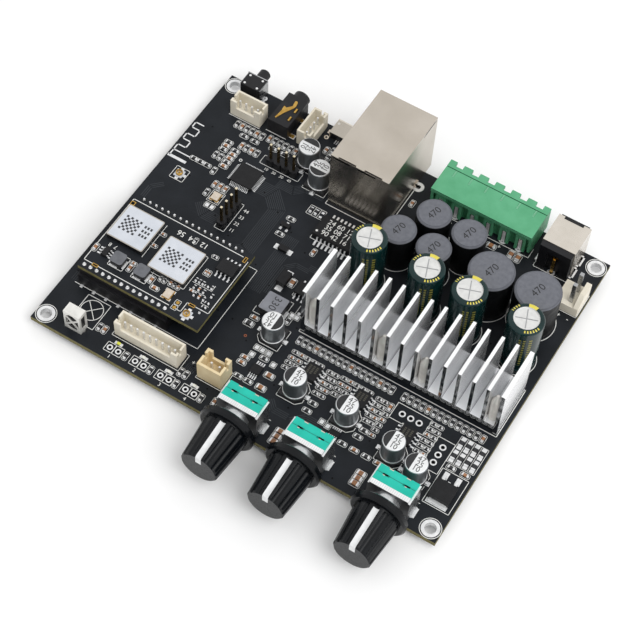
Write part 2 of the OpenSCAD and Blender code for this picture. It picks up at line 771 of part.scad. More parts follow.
module network_jack_contacts() color(gold) {
  for (p = across(net_x, 0, 8, 1.02))
    block(p[0], net_back - 8.5, top + port_z + port_h - 0.5, 0.45, 9, 0.5);
  for (p = across(net_x, 0, 4, 2.4))
    block(p[0], net_back - 5.2, top + data_z + data_h - tongue_h - 1.1, 1.2, 7, 0.2);
  square_leads(net_pins, net_pin, top);
}

// Small data socket: folded shell around a tongue
module data_socket_shell() color(nickel) difference() {
  translate([micro_x - micro_w / 2, micro_back - micro_d, top]) cube([micro_w, micro_d, micro_h]);
  translate([micro_x - micro_w / 2 + micro_wall, micro_back - micro_d - cut, top + micro_wall])
    cube([micro_w - 2 * micro_wall, micro_d + 2 * cut, micro_h - 2 * micro_wall]);
}
module data_socket_tongue() color(black_plastic) {
  translate([micro_x - micro_w / 2 + micro_wall, micro_back - micro_d, top + micro_wall])
    cube([micro_w - 2 * micro_wall, 1.6, micro_h - 2 * micro_wall]);
  translate([micro_x - 2, micro_back - micro_d + 1.6, top + micro_h / 2]) cube([4, 3.2, 0.6]);
}

// Audio jack: body, round nose and a plain bore, with leaf contacts on its top
module audio_jack_body() color(black_plastic) difference() {
  union() {
    translate([audio_x - audio_w / 2, audio_front, top]) cube([audio_w, audio_back - audio_front, audio_h]);
    point_back(audio_x, audio_back, top + audio_h / 2) cylinder(d = nose_d, h = nose_len);
  }
  point_back(audio_x, audio_back + nose_len - audio_depth, top + audio_h / 2)
    cylinder(d = audio_bore, h = audio_depth + cut);
  for (y = [3.2, 6.6]) block(audio_x + 2, audio_front + y, top + audio_h - 0.5, 1.1, 1.6, cut);
}
module audio_jack_contacts() color(gold) {
  translate([audio_x, audio_front, top + audio_h]) linear_extrude(0.15) polygon([
    [-1.95, 1.5], [-1.6, 1.4], [-0.45, 4.4], [1.1, 7.3], [1.2, 8], [1, 9.3], [0.75, 9.7], [0.3, 9.8],
    [0, 9.5], [0.2, 8.3], [0.3, 7.6], [-0.9, 6.2], [-1.8, 6.5], [-1.75, 5.6], [-1.6, 4.6]
  ]);
  for (y = [3.2, 6.6]) block(audio_x + 2, audio_front + y, top + audio_h - 0.5, 0.5, 1.6, 0.7);
  for (y = [1.6, 8]) block(audio_x + audio_w / 2 + 0.7, audio_front + y, top, 1.4, 1.1, 0.3);
  block(audio_x - audio_w / 2 - 0.5, audio_front + 5, top, 1, 1.1, 0.3);
}

// Push button on its side: body, bent frame and round plunger
module switch_body() color(black_plastic) {
  difference() {
    translate([button_x - button_w / 2, button_front, top]) cube([button_w, button_d, button_h]);
    point_back(button_x, plunger_root - 2 * button_travel, plunger_z)
      cylinder(d = plunger_d + 2 * run_clear, h = button_d);
  }
  round_leads(button_pins, button_lead, top + 0.1);
}
module switch_frame() color(bare_metal) {
  difference() {
    translate([button_x - button_w / 2 - button_sheet, button_back, top])
      cube([button_w + 2 * button_sheet, button_sheet, button_h]);
    point_back(button_x, button_back - cut, plunger_z) cylinder(d = plunger_d + 4 * run_clear, h = 2 * cut);
  }
  for (p = button_lugs) {
    translate([p[0] - button_sheet / 2, button_front + 0.4, top])
      cube([button_sheet, button_d - 0.4, button_h - 0.4]);
    block(p[0], p[1], -lead_out, button_sheet, lug_w, top + lead_out);
  }
}
module switch_plunger() color(black_plastic)
  point_back(button_x, plunger_root, plunger_z) {
    cylinder(d = plunger_d, h = plunger_tip - plunger_root - 0.4);
    translate([0, 0, plunger_tip - plunger_root - 0.4])
      cylinder(d1 = plunger_d, d2 = plunger_d - 0.8, h = 0.4);
  }

// Speaker terminals: open box for the plug, castellated roof, windowed legs in front
module terminal_housing() color(term_green) difference() {
  union() {
    translate([term_x - term_w / 2, term_front, top]) cube([term_w, term_back - term_front, term_h]);
    translate([term_x - term_w / 2, term_lip, top + term_h - 1.3]) cube([term_w, term_back - term_lip, 1.3]);
    for (p = term_pins_at)
      block(p[0], (term_lip + 0.5 + term_front) / 2, top, leg_w, term_front - term_lip - 0.5, leg_h);
    for (s = [-1, 1]) block(term_x + s * (term_w / 2 - 0.4), (term_lip + term_front) / 2 + 0.5, top + 1,
                            0.8, term_front - term_lip, term_h - 1);
  }
  translate([term_x - term_w / 2 + term_wall, term_floor, top + term_wall])
    cube([term_w - 2 * term_wall, term_back, term_h - 2 * term_wall]);
  for (p = term_pins_at) {
    block(p[0], term_lip + 0.95, top - cut, window_w, 1.9, term_pin_z - top + 1 + cut);
    block(p[0], term_floor, term_pin_z - term_pin_w / 2 - mate,
          term_pin_w + 2 * mate, 4, term_pin_w + 2 * mate);
    block(p[0], term_back, top + term_h - 2, castle_w, 2 * castle_d, 2 * cut + 1);
    block(p[0], term_back - castle_d - 2.4, top + term_h - 0.35, 0.55, 2.6, cut);
  }
  block(term_x, term_back - castle_d - 1.2, top + term_h - 0.25, term_w + cut, 0.3, cut);
}
module terminal_pins() color(bare_metal) {
  for (p = term_pins_at) block(p[0], (term_pin_y + term_back - 2.2) / 2, term_pin_z - term_pin_w / 2,
                               term_pin_w, term_back - 2.2 - term_pin_y, term_pin_w);
  square_leads(term_pins_at, term_pin_w, term_pin_z + term_pin_w / 2);
}

// Power jack: moulded body with the bore, sheet cover with lugs, centre pin with its tail
module dc_jack_body() color(black_plastic) difference() {
  union() {
    translate([dc_x - dc_body_w / 2, dc_front, top]) cube([dc_body_w, dc_back - dc_front, dc_h - dc_sheet]);
    block(dc_x, dc_back, top, dc_lip_w, 2 * dc_lip, dc_h - dc_sheet);
  }
  point_back(dc_x, dc_back - dc_depth, top + dc_axis) cylinder(d = dc_bore, h = dc_depth + dc_lip + cut);
  point_back(dc_x, dc_front - cut, top + dc_axis) cylinder(d = dc_pin_d + 2 * mate, h = dc_depth);
  block(dc_x, dc_front, top - cut, dc_pocket_w, 2 * dc_pocket_d, dc_axis + dc_pin_d + cut);
}
module dc_jack_shield() color(nickel) {
  difference() {
    translate([dc_x - dc_w / 2, dc_cover_front, top]) cube([dc_w, dc_back - dc_cover_front, dc_h]);
    translate([dc_x - dc_body_w / 2, dc_cover_front - cut, top - cut])
      cube([dc_body_w, dc_back - dc_front + 2 * cut, dc_h - dc_sheet + cut]);
    block(dc_x - 0.2, dc_back, top + dc_h - cut, dc_notch_w, 2 * dc_notch_d, 2 * cut);
  }
  for (s = [-1, 1], y = dc_lug_y)
    block(dc_x + s * (dc_w - dc_sheet) / 2, y, -lead_out, dc_sheet, dc_lug_w, top + lead_out);
}
module dc_jack_contacts() color(gold) {
  point_back(dc_x, dc_tail[1], top + dc_axis) cylinder(d = dc_tail_w, h = dc_pocket_d);
  point_back(dc_x, dc_tail[1] + 0.9, top + dc_axis) cylinder(d = dc_pin_d, h = dc_back - 1.9 - dc_tail[1]);
  block(dc_tail[0], dc_tail[1], -lead_out, dc_tail_w, 0.5, top + dc_axis + lead_out);
}

// Power header: base with a tapered locking wall, and two tall pins
module power_header_housing() color(cream) difference() {
  union() {
    block(vin_x, vin_y, top, vin_w, vin_d, vin_base);
    translate([vin_x + vin_w / 2 - vin_lock_t, vin_y, top]) rotate([90, 0, 90])
      linear_extrude(vin_lock_t) polygon([
        [-vin_d / 2, 0], [vin_d / 2, 0], [vin_d / 2, vin_lock_h - 1.5], [vin_d / 2 - 0.3, vin_lock_h - 0.5],
        [vin_d / 2 - 1, vin_lock_h], [-0.9, vin_lock_h - 0.4], [-vin_d / 2, vin_base + 0.2]
      ]);
  }
  for (p = vin_pins)
    block(p[0], p[1], top - cut, vin_pin_w + 2 * mate, vin_pin_w + 2 * mate, vin_base + 2 * cut);
}
module power_header_pins() color(bare_metal) square_leads(vin_pins, vin_pin_w, top + vin_pin_top);

// Shrouded wire connector with a low front, drawn about its own centre
module shroud(w, d, h, wall, post) {
  difference() {
    block(0, 0, 0, w, d, h);
    block(0, 0, wire_floor, w - 2 * wall, d - 2 * wall, h);
    block(0, -d / 2, h * 0.55, w - 2 * post, 3 * wall, h);
    for (s = [-1, 1]) block(s * w / 2, -d * 0.12, h * 0.7, 3 * wall, 0.9, h);
  }
}
module pin_sockets(points, w) {
  for (p = points) block(p[0], p[1], top - cut, w + 2 * mate, w + 2 * mate, wire_floor + 2 * cut);
}
module wire_connector_housings() color(cream) for (c = wire_row) difference() {
  translate([c[0], c[1], top]) rotate(c[3])
    shroud((c[2] - 1) * wire_pitch + 2 * wire_end, wire_d, wire_h, wire_wall, 2);
  pin_sockets(wire_pins(c), wire_pin_w);
}
module aux_connector_housing() color(tan_nylon) difference() {
  translate([aux_at[0], aux_at[1], top]) rotate(180) shroud(aux_w, aux_d, aux_h, 0.7, 1.7);
  pin_sockets(aux_pins, wire_pin_w);
}
module connector_pins() color(bare_metal) square_leads(wire_pin_points, wire_pin_w, top + wire_pin_top);

// Bare pin headers: notched strips with square pins
module pin_header_bases() color(black_plastic) for (c = header_places) difference() {
  translate([c[0], c[1], top]) rotate(c[2]) difference() {
    block(0, 0, 0, header_n * header_pitch, header_w, header_w);
    for (i = [0:header_n], s = [-1, 1])
      translate([(i - header_n / 2) * header_pitch, s * header_w / 2, -cut]) rotate(45)
        block(0, 0, 0, 0.7, 0.7, header_w + 2 * cut);
  }
  for (p = header_pins(c))
    block(p[0], p[1], top - cut, header_pin_w + 2 * mate, header_pin_w + 2 * mate, header_w + 2 * cut);
}
module pin_header_pins() color(gold) square_leads(header_pin_points, header_pin_w, top + header_pin_top);

// Infrared receiver: moulded body with a round lens, in a cage with a crossed window and open sides
module ir_receiver() color(black_plastic) {
  back_y = eye_y + eye_d / 2 - eye_sheet;
  translate([eye_x - eye_body_w / 2, back_y - eye_body_d, top + 0.6])
    cube([eye_body_w, eye_body_d, eye_h - eye_sheet - 0.7]);
  translate([eye_x, back_y - eye_body_d, top + eye_h * 0.55]) intersection() {
    translate([0, eye_lens_r - 0.5, 0]) sphere(eye_lens_r);
    translate([-eye_lens_r, -0.5, -eye_lens_r]) cube([2 * eye_lens_r, 0.6, 2 * eye_lens_r]);
  }
  round_leads(eye_pins, eye_lead, top + 0.6);
}
module ir_receiver_cage() color(bare_metal) {
  difference() {
    block(eye_x, eye_y, top + 0.1, eye_w, eye_d, eye_h - 0.1);
    translate([eye_x - eye_w / 2 + eye_sheet, eye_y - eye_d / 2 + eye_sheet, top - cut])
      cube([eye_w - 2 * eye_sheet, eye_d, eye_h - eye_sheet + cut]);
    difference() {
      union() {
        for (z = [eye_window_low, eye_window_high]) point_back(eye_x, eye_y - eye_d / 2 - cut, z)
          cylinder(d = eye_window, h = 2 * cut);
        translate([eye_x - eye_window / 2, eye_y - eye_d / 2 - cut, eye_window_low])
          cube([eye_window, 2 * cut, eye_window_high - eye_window_low]);
      }
      for (a = [45, 135]) point_back(eye_x, eye_y - eye_d / 2 - 2 * cut, top + eye_h * 0.5)
        rotate(a) block(0, 0, 0, 2 * eye_h, eye_bar, 4 * cut);
    }
    translate([eye_x - eye_w, eye_y - eye_side_d / 2, top + eye_side_low])
      cube([2 * eye_w, eye_side_d, eye_side_high - eye_side_low]);
  }
  for (p = eye_lugs) block(p[0], p[1], -lead_out, eye_sheet, eye_lug_w, top + 0.2 + lead_out);
}

// Chips, chokes and the many small chip parts
module chip_packages() color(black_plastic) for (c = chip_packages_at)
  block(c[0], c[1], c[5], c[2], c[3], c[4]);
module power_inductors() color(grey_ferrite) {
  translate([choke_at[0], choke_at[1], top])
    linear_extrude(choke_h) rounded_plate(choke_w, choke_w - 0.2, choke_r);
  for (p = module_chokes) translate([p[0], p[1], module_z + module_t])
    linear_extrude(module_choke_h) rounded_plate(module_choke_w, module_choke_w, 0.8);
}
module chip_components() color("#8a6b4f") for (r = chip_rows, i = [0:r[1] - 1]) {
  size = r[3];
  at = r[0] + i * r[2];
  block(at[0], at[1], top, size[0], size[1], size[2]);
}

pcb();
heatsink();
heatsink_screws();
amplifier_chips();
thermal_pads();
filter_inductor(0);  // filter_inductor_1
filter_inductor(1);  // filter_inductor_2
filter_inductor(2);  // filter_inductor_3
filter_inductor(3);  // filter_inductor_4
bass_inductor(0);  // bass_inductor_1
bass_inductor(1);  // bass_inductor_2
bulk_capacitor(0);  // bulk_capacitor_1
bulk_capacitor(1);  // bulk_capacitor_2
bulk_capacitor(2);  // bulk_capacitor_3
bulk_capacitor(3);  // bulk_capacitor_4
smd_capacitors();
pot_housing(0);  // pot_housing_1
pot_housing(1);  // pot_housing_2
pot_housing(2);  // pot_housing_3
pot_frame(0);  // pot_frame_1
pot_frame(1);  // pot_frame_2
pot_frame(2);  // pot_frame_3
pot_shaft(0);  // pot_shaft_1
pot_shaft(1);  // pot_shaft_2
pot_shaft(2);  // pot_shaft_3
knob(0);  // knob_1
knob(1);  // knob_2
knob(2);  // knob_3
module_board();
module_shields();
module_sockets();
module_headers();
module_pins();
network_jack_shield();
network_jack_insulator();
network_jack_contacts();
data_socket_shell();
data_socket_tongue();
audio_jack_body();
audio_jack_contacts();
switch_body();
switch_frame();
switch_plunger();
terminal_housing();
terminal_pins();
dc_jack_body();
dc_jack_shield();
dc_jack_contacts();
power_header_housing();
power_header_pins();
wire_connector_housings();
aux_connector_housing();
connector_pins();
pin_header_bases();
pin_header_pins();
ir_receiver();
ir_receiver_cage();
chip_packages();
power_inductors();
chip_components();
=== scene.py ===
"""Dressing for the audio amplifier board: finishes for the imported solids, and the print, pads,
solder, chip parts, leads, labels and marks that sit on them. Lengths are in millimetres until
a piece is finished, when its mesh is brought to metres."""

import math
from functools import reduce

import bmesh
import bpy
from mathutils import Matrix, Vector


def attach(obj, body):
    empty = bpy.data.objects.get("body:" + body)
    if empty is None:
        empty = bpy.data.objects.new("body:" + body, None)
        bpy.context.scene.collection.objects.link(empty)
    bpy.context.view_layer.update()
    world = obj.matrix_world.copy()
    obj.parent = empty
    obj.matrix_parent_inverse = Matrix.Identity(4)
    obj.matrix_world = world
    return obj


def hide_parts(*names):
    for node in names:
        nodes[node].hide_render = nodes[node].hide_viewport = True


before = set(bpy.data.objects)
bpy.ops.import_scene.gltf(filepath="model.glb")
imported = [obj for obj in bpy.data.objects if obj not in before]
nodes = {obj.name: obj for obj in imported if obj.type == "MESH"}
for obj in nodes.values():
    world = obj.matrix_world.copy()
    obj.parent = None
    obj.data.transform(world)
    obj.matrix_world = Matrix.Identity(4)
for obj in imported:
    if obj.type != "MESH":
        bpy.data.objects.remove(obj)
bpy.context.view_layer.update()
scene = bpy.context.scene

MM = 0.001
BOTH = (-1, 1)
CORNERS = [(-1, -1), (1, -1), (-1, 1), (1, 1)]

# Heights over the underside of the board
TOP = 1.6
MODULE_FOOT, MODULE_TOP = 8.4, 9.6
CAN_TOP = 9.3
SHIELD_TOP = 11.2
WAFER_TOP = 12.6
SMALL_COIL_TOP, LARGE_COIL_TOP = 14.6, 16.6

# Thickness of print and of flat pads, and the widths of printed lines
COATING = 0.02
PAD, THIN_PAD = 0.06, 0.05
BOLD, LINE, THIN, FINE = 0.18, 0.16, 0.14, 0.12

# Places that several pieces share
BOARD_HALF = (62.5, 50)
MOUNTING_HOLE = (59.5, 47)
BULK_CAPACITORS = [(7.3, 9.1), (24.9, 9.1), (37.7, 9.1), (54.4, 9.3)]
SMALL_COILS = [(10.4, 20.4), (16, 30.2), (21.4, 20.2), (27.3, 29.5)]
LARGE_COILS = [(38.6, 20.8), (52.1, 21.9)]
CONTROLS = [2.6, 22.4, 47.5]
SIGNAL_CHIPS = [(10.6, -24.6), (25.8, -24.7), (41.2, -27.5)]
CONTROLLER = (-38.6, 20.4)
REGULATOR_X = 57.4
THREE_LEGGED = (-20.4, 12.2)
SIX_LEGGED = (-53.7, -26.3)
TEN_LEGGED = (25.0, -36.8)
RECEIVER = (-49.8, -39.6)
# Small capacitor cans, with their turns in degrees
CANS = [(-26.6, 34.8, -90), (-20.2, 29.9, 90), (-4.4, -20.1, 180), (9.5, -31.4, 0), (25.2, -31.3, 0),
        (40.7, -34, 0), (48.75, -36.5, 0)]


def numbered(stem, count):
    """The names of like solids."""
    return [f"{stem}_{i}" for i in range(1, count + 1)]


# ---- Finishes ----

FINISHES = {}
GRAIN_DEPTH = 0.0002
# Sockets of a Mix node for each kind of value: the two that it mixes, and what it gives
MIX_SOCKETS = {"FLOAT": (2, 3, 0), "RGBA": (6, 7, 2)}


def shade(code):
    """A colour written as six hexadecimal digits, as the shader wants it."""
    parts = [int(code[i:i + 2], 16) / 255 for i in (0, 2, 4)]
    return [p / 12.92 if p <= 0.04045 else ((p + 0.055) / 1.055) ** 2.4 for p in parts] + [1.0]


def add_node(tree, kind, setting=None, **values):
    """A shader node: one setting of its own, as name and value, and the values of its inputs."""
    node = tree.nodes.new("ShaderNode" + kind)
    if setting:
        setattr(node, *setting)
    for label, value in values.items():
        node.inputs[label.replace("_", " ")].default_value = value
    return node


def make_noise_mix(name, kind, first, second, detail, low, high):
    """A shader group that mixes two inputs by soft noise, spread between low and high."""
    value = "NodeSocketColor" if kind == "RGBA" else "NodeSocketFloat"
    tree = bpy.data.node_groups.new(name, "ShaderNodeTree")
    for label, socket in (("Vector", "NodeSocketVector"), ("Scale", "NodeSocketFloat"),
                          (first, value), (second, value)):
        tree.interface.new_socket(label, in_out="INPUT", socket_type=socket)
    tree.interface.new_socket("Result", in_out="OUTPUT", socket_type=value)
    ends = tree.nodes.new("NodeGroupInput").outputs
    result = tree.nodes.new("NodeGroupOutput").inputs
    noise = add_node(tree, "TexNoise", Detail=detail)
    spread = add_node(tree, "MapRange", From_Min=low, From_Max=high)
    mix = add_node(tree, "Mix", ("data_type", kind))
    below, above, given = MIX_SOCKETS[kind]
    for source, target in ((ends["Vector"], noise.inputs["Vector"]), (ends["Scale"], noise.inputs["Scale"]),
                           (noise.outputs["Fac"], spread.inputs["Value"]),
                           (spread.outputs["Result"], mix.inputs[0]), (ends[first], mix.inputs[below]),
                           (ends[second], mix.inputs[above]), (mix.outputs[given], result["Result"])):
        tree.links.new(source, target)
    return tree


MOTTLE = make_noise_mix("mottle", "FLOAT", "Low", "High", 3, 0.32, 0.68)
TWO_TONE = make_noise_mix("two_tone", "RGBA", "Dark", "Light", 4, 0.3, 0.7)


class Finish:
    """One material: two close tones, uneven gloss and a fine grain, with marks painted over it.
    Masks take a socket, or a coordinate of the surface by its letter."""

    def __init__(self, name, dark, light, rough=(0.35, 0.5), metal=0.0, patch=250, fine=2500,
                 grain=0.04, stretch=None, specular=0.5):
        material = FINISHES[name] = bpy.data.materials.new(name)
        material.use_nodes = True
        self.tree = material.node_tree
        self.link = self.tree.links.new
        self.shader = self.tree.nodes["Principled BSDF"].inputs
        self.shader["Metallic"].default_value = metal
        self.shader["Specular IOR Level"].default_value = specular
        self.coord = add_node(self.tree, "TexCoord")
        self.split = None
        vector = self.coord.outputs["Object"]
        if stretch:
            mapping = add_node(self.tree, "Mapping", Scale=stretch)
            self.link(vector, mapping.inputs["Vector"])
            vector = mapping.outputs["Vector"]
        tone = self.group(TWO_TONE, vector, Scale=patch, Dark=shade(dark), Light=shade(light))
        gloss = self.group(MOTTLE, vector, Scale=fine * 0.3, Low=rough[0], High=rough[1])
        height = self.group(MOTTLE, vector, Scale=fine, Low=0.0, High=1.0)
        bump = add_node(self.tree, "Bump", Strength=grain, Distance=GRAIN_DEPTH)
        self.link(height, bump.inputs["Height"])
        for label, source in (("Base Color", tone), ("Roughness", gloss), ("Normal", bump.outputs["Normal"])):
            self.link(source, self.shader[label])

    def group(self, tree, vector, **values):
        node = add_node(self.tree, "Group", ("node_tree", tree), **values)
        self.link(vector, node.inputs["Vector"])
        return node.outputs["Result"]

    def axis(self, letter):
        """A coordinate of the surface in millimetres."""
        if self.split is None:
            scale = add_node(self.tree, "VectorMath", ("operation", "SCALE"), Scale=1000)
            self.split = add_node(self.tree, "SeparateXYZ")
            self.link(self.coord.outputs["Object"], scale.inputs[0])
            self.link(scale.outputs[0], self.split.inputs[0])
        return self.split.outputs[letter]

    def math(self, operation, *values):
        node = add_node(self.tree, "Math", ("operation", operation))
        for socket, value in zip(node.inputs, values):
            if isinstance(value, (int, float)):
                socket.default_value = value
            else:
                self.link(self.axis(value) if isinstance(value, str) else value, socket)
        return node.outputs[0]

    def over(self, value, limit):
        return self.math("GREATER_THAN", value, limit)

    def under(self, value, limit):
        return self.math("LESS_THAN", value, limit)

    def between(self, value, low, high):
        return self.all(self.over(value, low), self.under(value, high))

    def near(self, value, middle, reach):
        return self.math("COMPARE", value, middle, reach)

    def stripes(self, value, rate, share):
        """Repeats at this rate, each time over this share of the way."""
        return self.under(self.math("FRACT", self.math("MULTIPLY", value, rate)), share)

    def all(self, *masks):
        return reduce(lambda one, other: self.math("MULTIPLY", one, other), masks)

    def any(self, *masks):
        return reduce(lambda one, other: self.math("MAXIMUM", one, other), masks)

    def paint(self, mask, dark, light, patch=600, metal=None, rough=None):
        """Lays another pair of tones over the finish where mask is 1."""
        tone = self.group(TWO_TONE, self.coord.outputs["Object"], Scale=patch, Dark=shade(dark),
                          Light=shade(light))
        self.link(tone, self.cover("Base Color", "RGBA", mask))
        for label, value in (("Metallic", metal), ("Roughness", rough)):
            if value is not None:
                self.cover(label, "FLOAT", mask).default_value = value

    def cover(self, label, kind, mask):
        """Puts a Mix node before an input of the shader and returns its upper socket."""
        target = self.shader[label]
        below, above, given = MIX_SOCKETS[kind]
        mix = add_node(self.tree, "Mix", ("data_type", kind))
        self.link(mask, mix.inputs[0])
        if target.links:
            self.link(target.links[0].from_socket, mix.inputs[below])
        else:
            mix.inputs[below].default_value = target.default_value
        self.link(mix.outputs[given], target)
        return mix.inputs[above]


def board_finish(name, low, high, half_w, half_d):
    """Black coating above and below, fibre on the cut edges, bright walls in the mounting holes."""
    mask = Finish(name, "181b1f", "212429", rough=(0.36, 0.48), patch=120, fine=1800, grain=0.05,
                  specular=0.16)
    side = mask.between("Z", low + 0.03, high - 0.03)
    x, y = mask.math("ABSOLUTE", "X"), mask.math("ABSOLUTE", "Y")
    edge = mask.any(mask.over(x, half_w - 0.05), mask.over(y, half_d - 0.05))
    corner = mask.all(mask.over(x, MOUNTING_HOLE[0] - 3), mask.over(y, MOUNTING_HOLE[1] - 3))
    mask.paint(side, "1c1c1e", "2c2c2e", metal=0.5, rough=0.4)
    mask.paint(mask.all(side, corner), "d6d7d8", "ececec", metal=0.5, rough=0.35)
    mask.paint(mask.all(side, edge), "5d5838", "78714a", patch=900, metal=0.0, rough=0.7)


def coil_finish(name, top):
    """Black sleeve around a grey core, whose end shows in the top."""
    coil = Finish(name, "08090a", "0f1012", rough=(0.4, 0.55), patch=300, fine=3000, grain=0.05,
                  specular=0.25)
    coil.paint(coil.over("Z", top - 0.4), "5c5e65", "686a71", rough=0.6)
    coil.paint(coil.over("Z", top - 0.02), "64666d", "707279", patch=900, rough=0.65)


def sleeve_finish(name, x, y):
    """Dark green sleeve with yellow bars and a bare aluminium end."""
    can = Finish(name, "092122", "0e2d2c", rough=(0.15, 0.22), patch=400, fine=1500, grain=0.015,
                 specular=0.34)
    dx, dy = can.math("SUBTRACT", "X", x), can.math("SUBTRACT", "Y", y)
    radius = can.math("SQRT", can.math("ADD", can.math("MULTIPLY", dx, dx), can.math("MULTIPLY", dy, dy)))
    angle = can.math("ARCTAN2", dy, dx)
    # Columns of short bars on the front, in olive as painted shade of the yellow print, and a plain band at
    # the back
    columns = can.any(*(can.near(angle, at, reach) for at, reach in (
        (-1.35, 0.06), (-1.12, 0.06), (-0.78, 0.09))))
    bars = can.all(can.stripes("Z", 0.9, 0.55), columns, can.between("Z", 6.0, 18.6))
    can.paint(bars, "756f28", "8d8636", rough=0.4)
    can.paint(can.all(can.near(angle, 1.6, 0.3), can.over("Z", 3.6)), "d5c64b", "e0d25c", rough=0.4)
    # Ticks round the rim of the end
    rim = can.all(can.over("Z", 20.4), can.between(radius, 3.95, 4.6))
    words = can.any(can.near(angle, -0.75, 0.5), can.near(angle, 2.75, 0.34))
    can.paint(can.all(rim, can.stripes(angle, 5.6, 0.45), words), "cdbf48", "d9cb58", rough=0.4)
    # Bare end, with painted shade in the grooves of its pressed cross
    bare = can.all(can.over("Z", 21.0), can.under(radius, 3.52))
    can.paint(bare, "d2d2d0", "e0e0de", patch=700, metal=0.5, rough=0.4)
    can.paint(can.all(bare, can.under("Z", 21.24)), "a2a3a4", "b4b5b6", metal=0.5, rough=0.4)


def can_finish():
    """Surface-mounted capacitor: black foot, drawn aluminium can, and its end painted nearly white as painted
    highlight.
    """
    can = Finish("small_can", "8e9296", "a0a4a7", rough=(0.34, 0.42), metal=0.9, patch=500, fine=900,
                 grain=0.02, stretch=(1, 1, 0.1))
    # Painted highlight: the end of the can, nearly white and matt where the light falls from above
    can.paint(can.over("Z", CAN_TOP - 0.1), "dedfe0", "eaebeb", metal=0.1, rough=0.42)
    can.paint(can.under("Z", 2.72), "111113", "1a1a1c", metal=0.0, rough=0.5)


def knob_finish(name, x):
    """Charcoal moulding with a white pointer in its top flute."""
    knob = Finish(name, "06080b", "0b0e12", rough=(0.2, 0.3), patch=200, fine=2600, grain=0.03, specular=0.22)
    bar = knob.all(knob.near("X", x, 0.82), knob.over("Z", 10.6), knob.under("Y", -55.2))
    knob.paint(bar, "d6d7d8", "e2e3e4", rough=0.45)


def sink_finish():
    """Extruded aluminium: streaks along the fins, pale tops, and sawn ends painted darker as a painted
    reflection of the dark board.
    """
    sink = Finish("sink_metal", "f0f1f3", "f9f9fa", rough=(0.2, 0.28), metal=0.72, patch=260, fine=600,
                  grain=0.012, stretch=(1, 0.05, 1))
    # The base between the fins, the two ends, and the tops of the fins
    sink.paint(sink.near("Z", 5.6, 0.06), "e9ebee", "f4f5f7", patch=260, metal=0.45, rough=0.34)
    # Painted reflection: the sawn ends darkened for the dark board they face
    ends = sink.any(sink.under("Y", -14.62), sink.over("Y", 1.32))
    sink.paint(ends, "8d8f91", "b4b5b6", patch=1500, metal=1.0, rough=0.1)
    sink.paint(sink.over("Z", 21.05), "eceded", "f6f6f6", metal=0.2, rough=0.4)


def pot_plate_finish():
    """Stamped plate and its bright bushing: the face painted dark as painted shade and reflection of the
    black knob, the top edge and the arms' upper edges painted pale as painted highlight, with the ribs along
    the top edge as darker painted stripes.
    """
    plate = Finish("pot_plate", "96989a", "b0b2b3", rough=(0.24, 0.34), metal=0.95, patch=350, fine=1600,
                   grain=0.03)
    face = -49.0
    # Painted shade: the face, dark for the shade behind the knob and for the black knob it mirrors
    plate.paint(plate.near("Y", face, 0.05), "333436", "46474a", metal=0.8, rough=0.3)
    plate.paint(plate.under("Y", face - 0.06), "b4b6b8", "cccecf", metal=0.85, rough=0.24)
    # Painted highlight: the top edge and the upper edges of the arms, pale where the light falls, with the
    # ribs as slightly darker stripes
    top = plate.over("Z", WAFER_TOP - 0.05)
    arms = plate.all(plate.near("Z", 11.7, 0.04), plate.over("Y", face + 0.1))
    plate.paint(plate.any(top, arms), "e2e3e4", "f0f0f0", metal=0.3, rough=0.4)
    plate.paint(plate.all(top, plate.stripes("X", 1.7, 0.4)), "d7d9da", "dfe0e1", metal=0.3, rough=0.4)


def ferrite_finish():
    """Grey tops on nearly black sides, on the main board and on the module."""
    ferrite = Finish("small_ferrite", "7e8087", "8b8d94", rough=(0.5, 0.62), patch=500, fine=4200, grain=0.1)
    ferrite.paint(ferrite.between("Z", 0, 4.45), "1b1c1e", "26272a", rough=0.6)
    ferrite.paint(ferrite.between("Z", 8.0, 11.4), "141517", "1e1f22", rough=0.55)
    ferrite.paint(ferrite.over("Z", 11.4), "5b5d62", "696b70", rough=0.6)


def shield_finish():
    """Drawn can of the module: bright rim, and sides painted dark as a painted reflection of the black board.
    """
    shield = Finish("module_can", "b7b1a7", "c3bdb4", rough=(0.2, 0.3), metal=1.0, patch=200, fine=900,
                    grain=0.02)
    # Painted reflection: the sides darkened for the black board they mirror
    shield.paint(shield.under("Z", SHIELD_TOP - 0.1), "2a2a2b", "38383a", metal=0.7, rough=0.35)


def terminal_finish():
    """Green moulding: painted shade in the groove along its top, on the walls of the short grooves and along
    the upper edge of its sides, and painted highlight on the floors of the short grooves.
    """
    green = Finish("terminal_green", "529f74", "61ad83", **PLASTIC)
    # Painted shade: the long groove, the walls of the short grooves and a band along the upper edge of the
    # sides
    green.paint(green.between("Z", 9.88, 10.17), "2c6a4a", "357857", rough=0.5)
    # Painted highlight: the floors of the short grooves, pale like the lit tops of raised ribs
    green.paint(green.near("Z", 9.85, 0.025), "84caa2", "90d2ac", rough=0.45)


def shell_finish():
    """Folded shell of the data socket, paler along its mouth."""
    shell = Finish("shell_nickel", "aea79c", "bbb4a9", **NICKEL)
    shell.paint(shell.over("Y", 51.0), "d9d1c4", "e4ddd1", metal=0.6, rough=0.35)


def header_pin_finish():
    """Square pins: gold painted brown as a painted reflection of the black board, and cut ends painted pale
    as painted highlight.
    """
    # Painted reflection: the gold darkened to brown for the black board it mirrors
    pin = Finish("header_pin", "4e4024", "6e5a34", rough=(0.22, 0.34), metal=0.9, patch=600, fine=2600)
    # Painted highlight on the cut ends, which face the light
    pin.paint(pin.over("Z", 10.05), "dccfae", "eadfc6", metal=0.6, rough=0.3)


STEEL = dict(rough=(0.22, 0.34), metal=1.0, patch=350, fine=1600, grain=0.03)
NICKEL = dict(rough=(0.23, 0.26), metal=1.0, patch=90, fine=500, grain=0.004)
PLASTIC = dict(rough=(0.38, 0.52), patch=220, fine=2600, grain=0.06, specular=0.3)

board_finish("board_mask", 0, TOP, *BOARD_HALF)
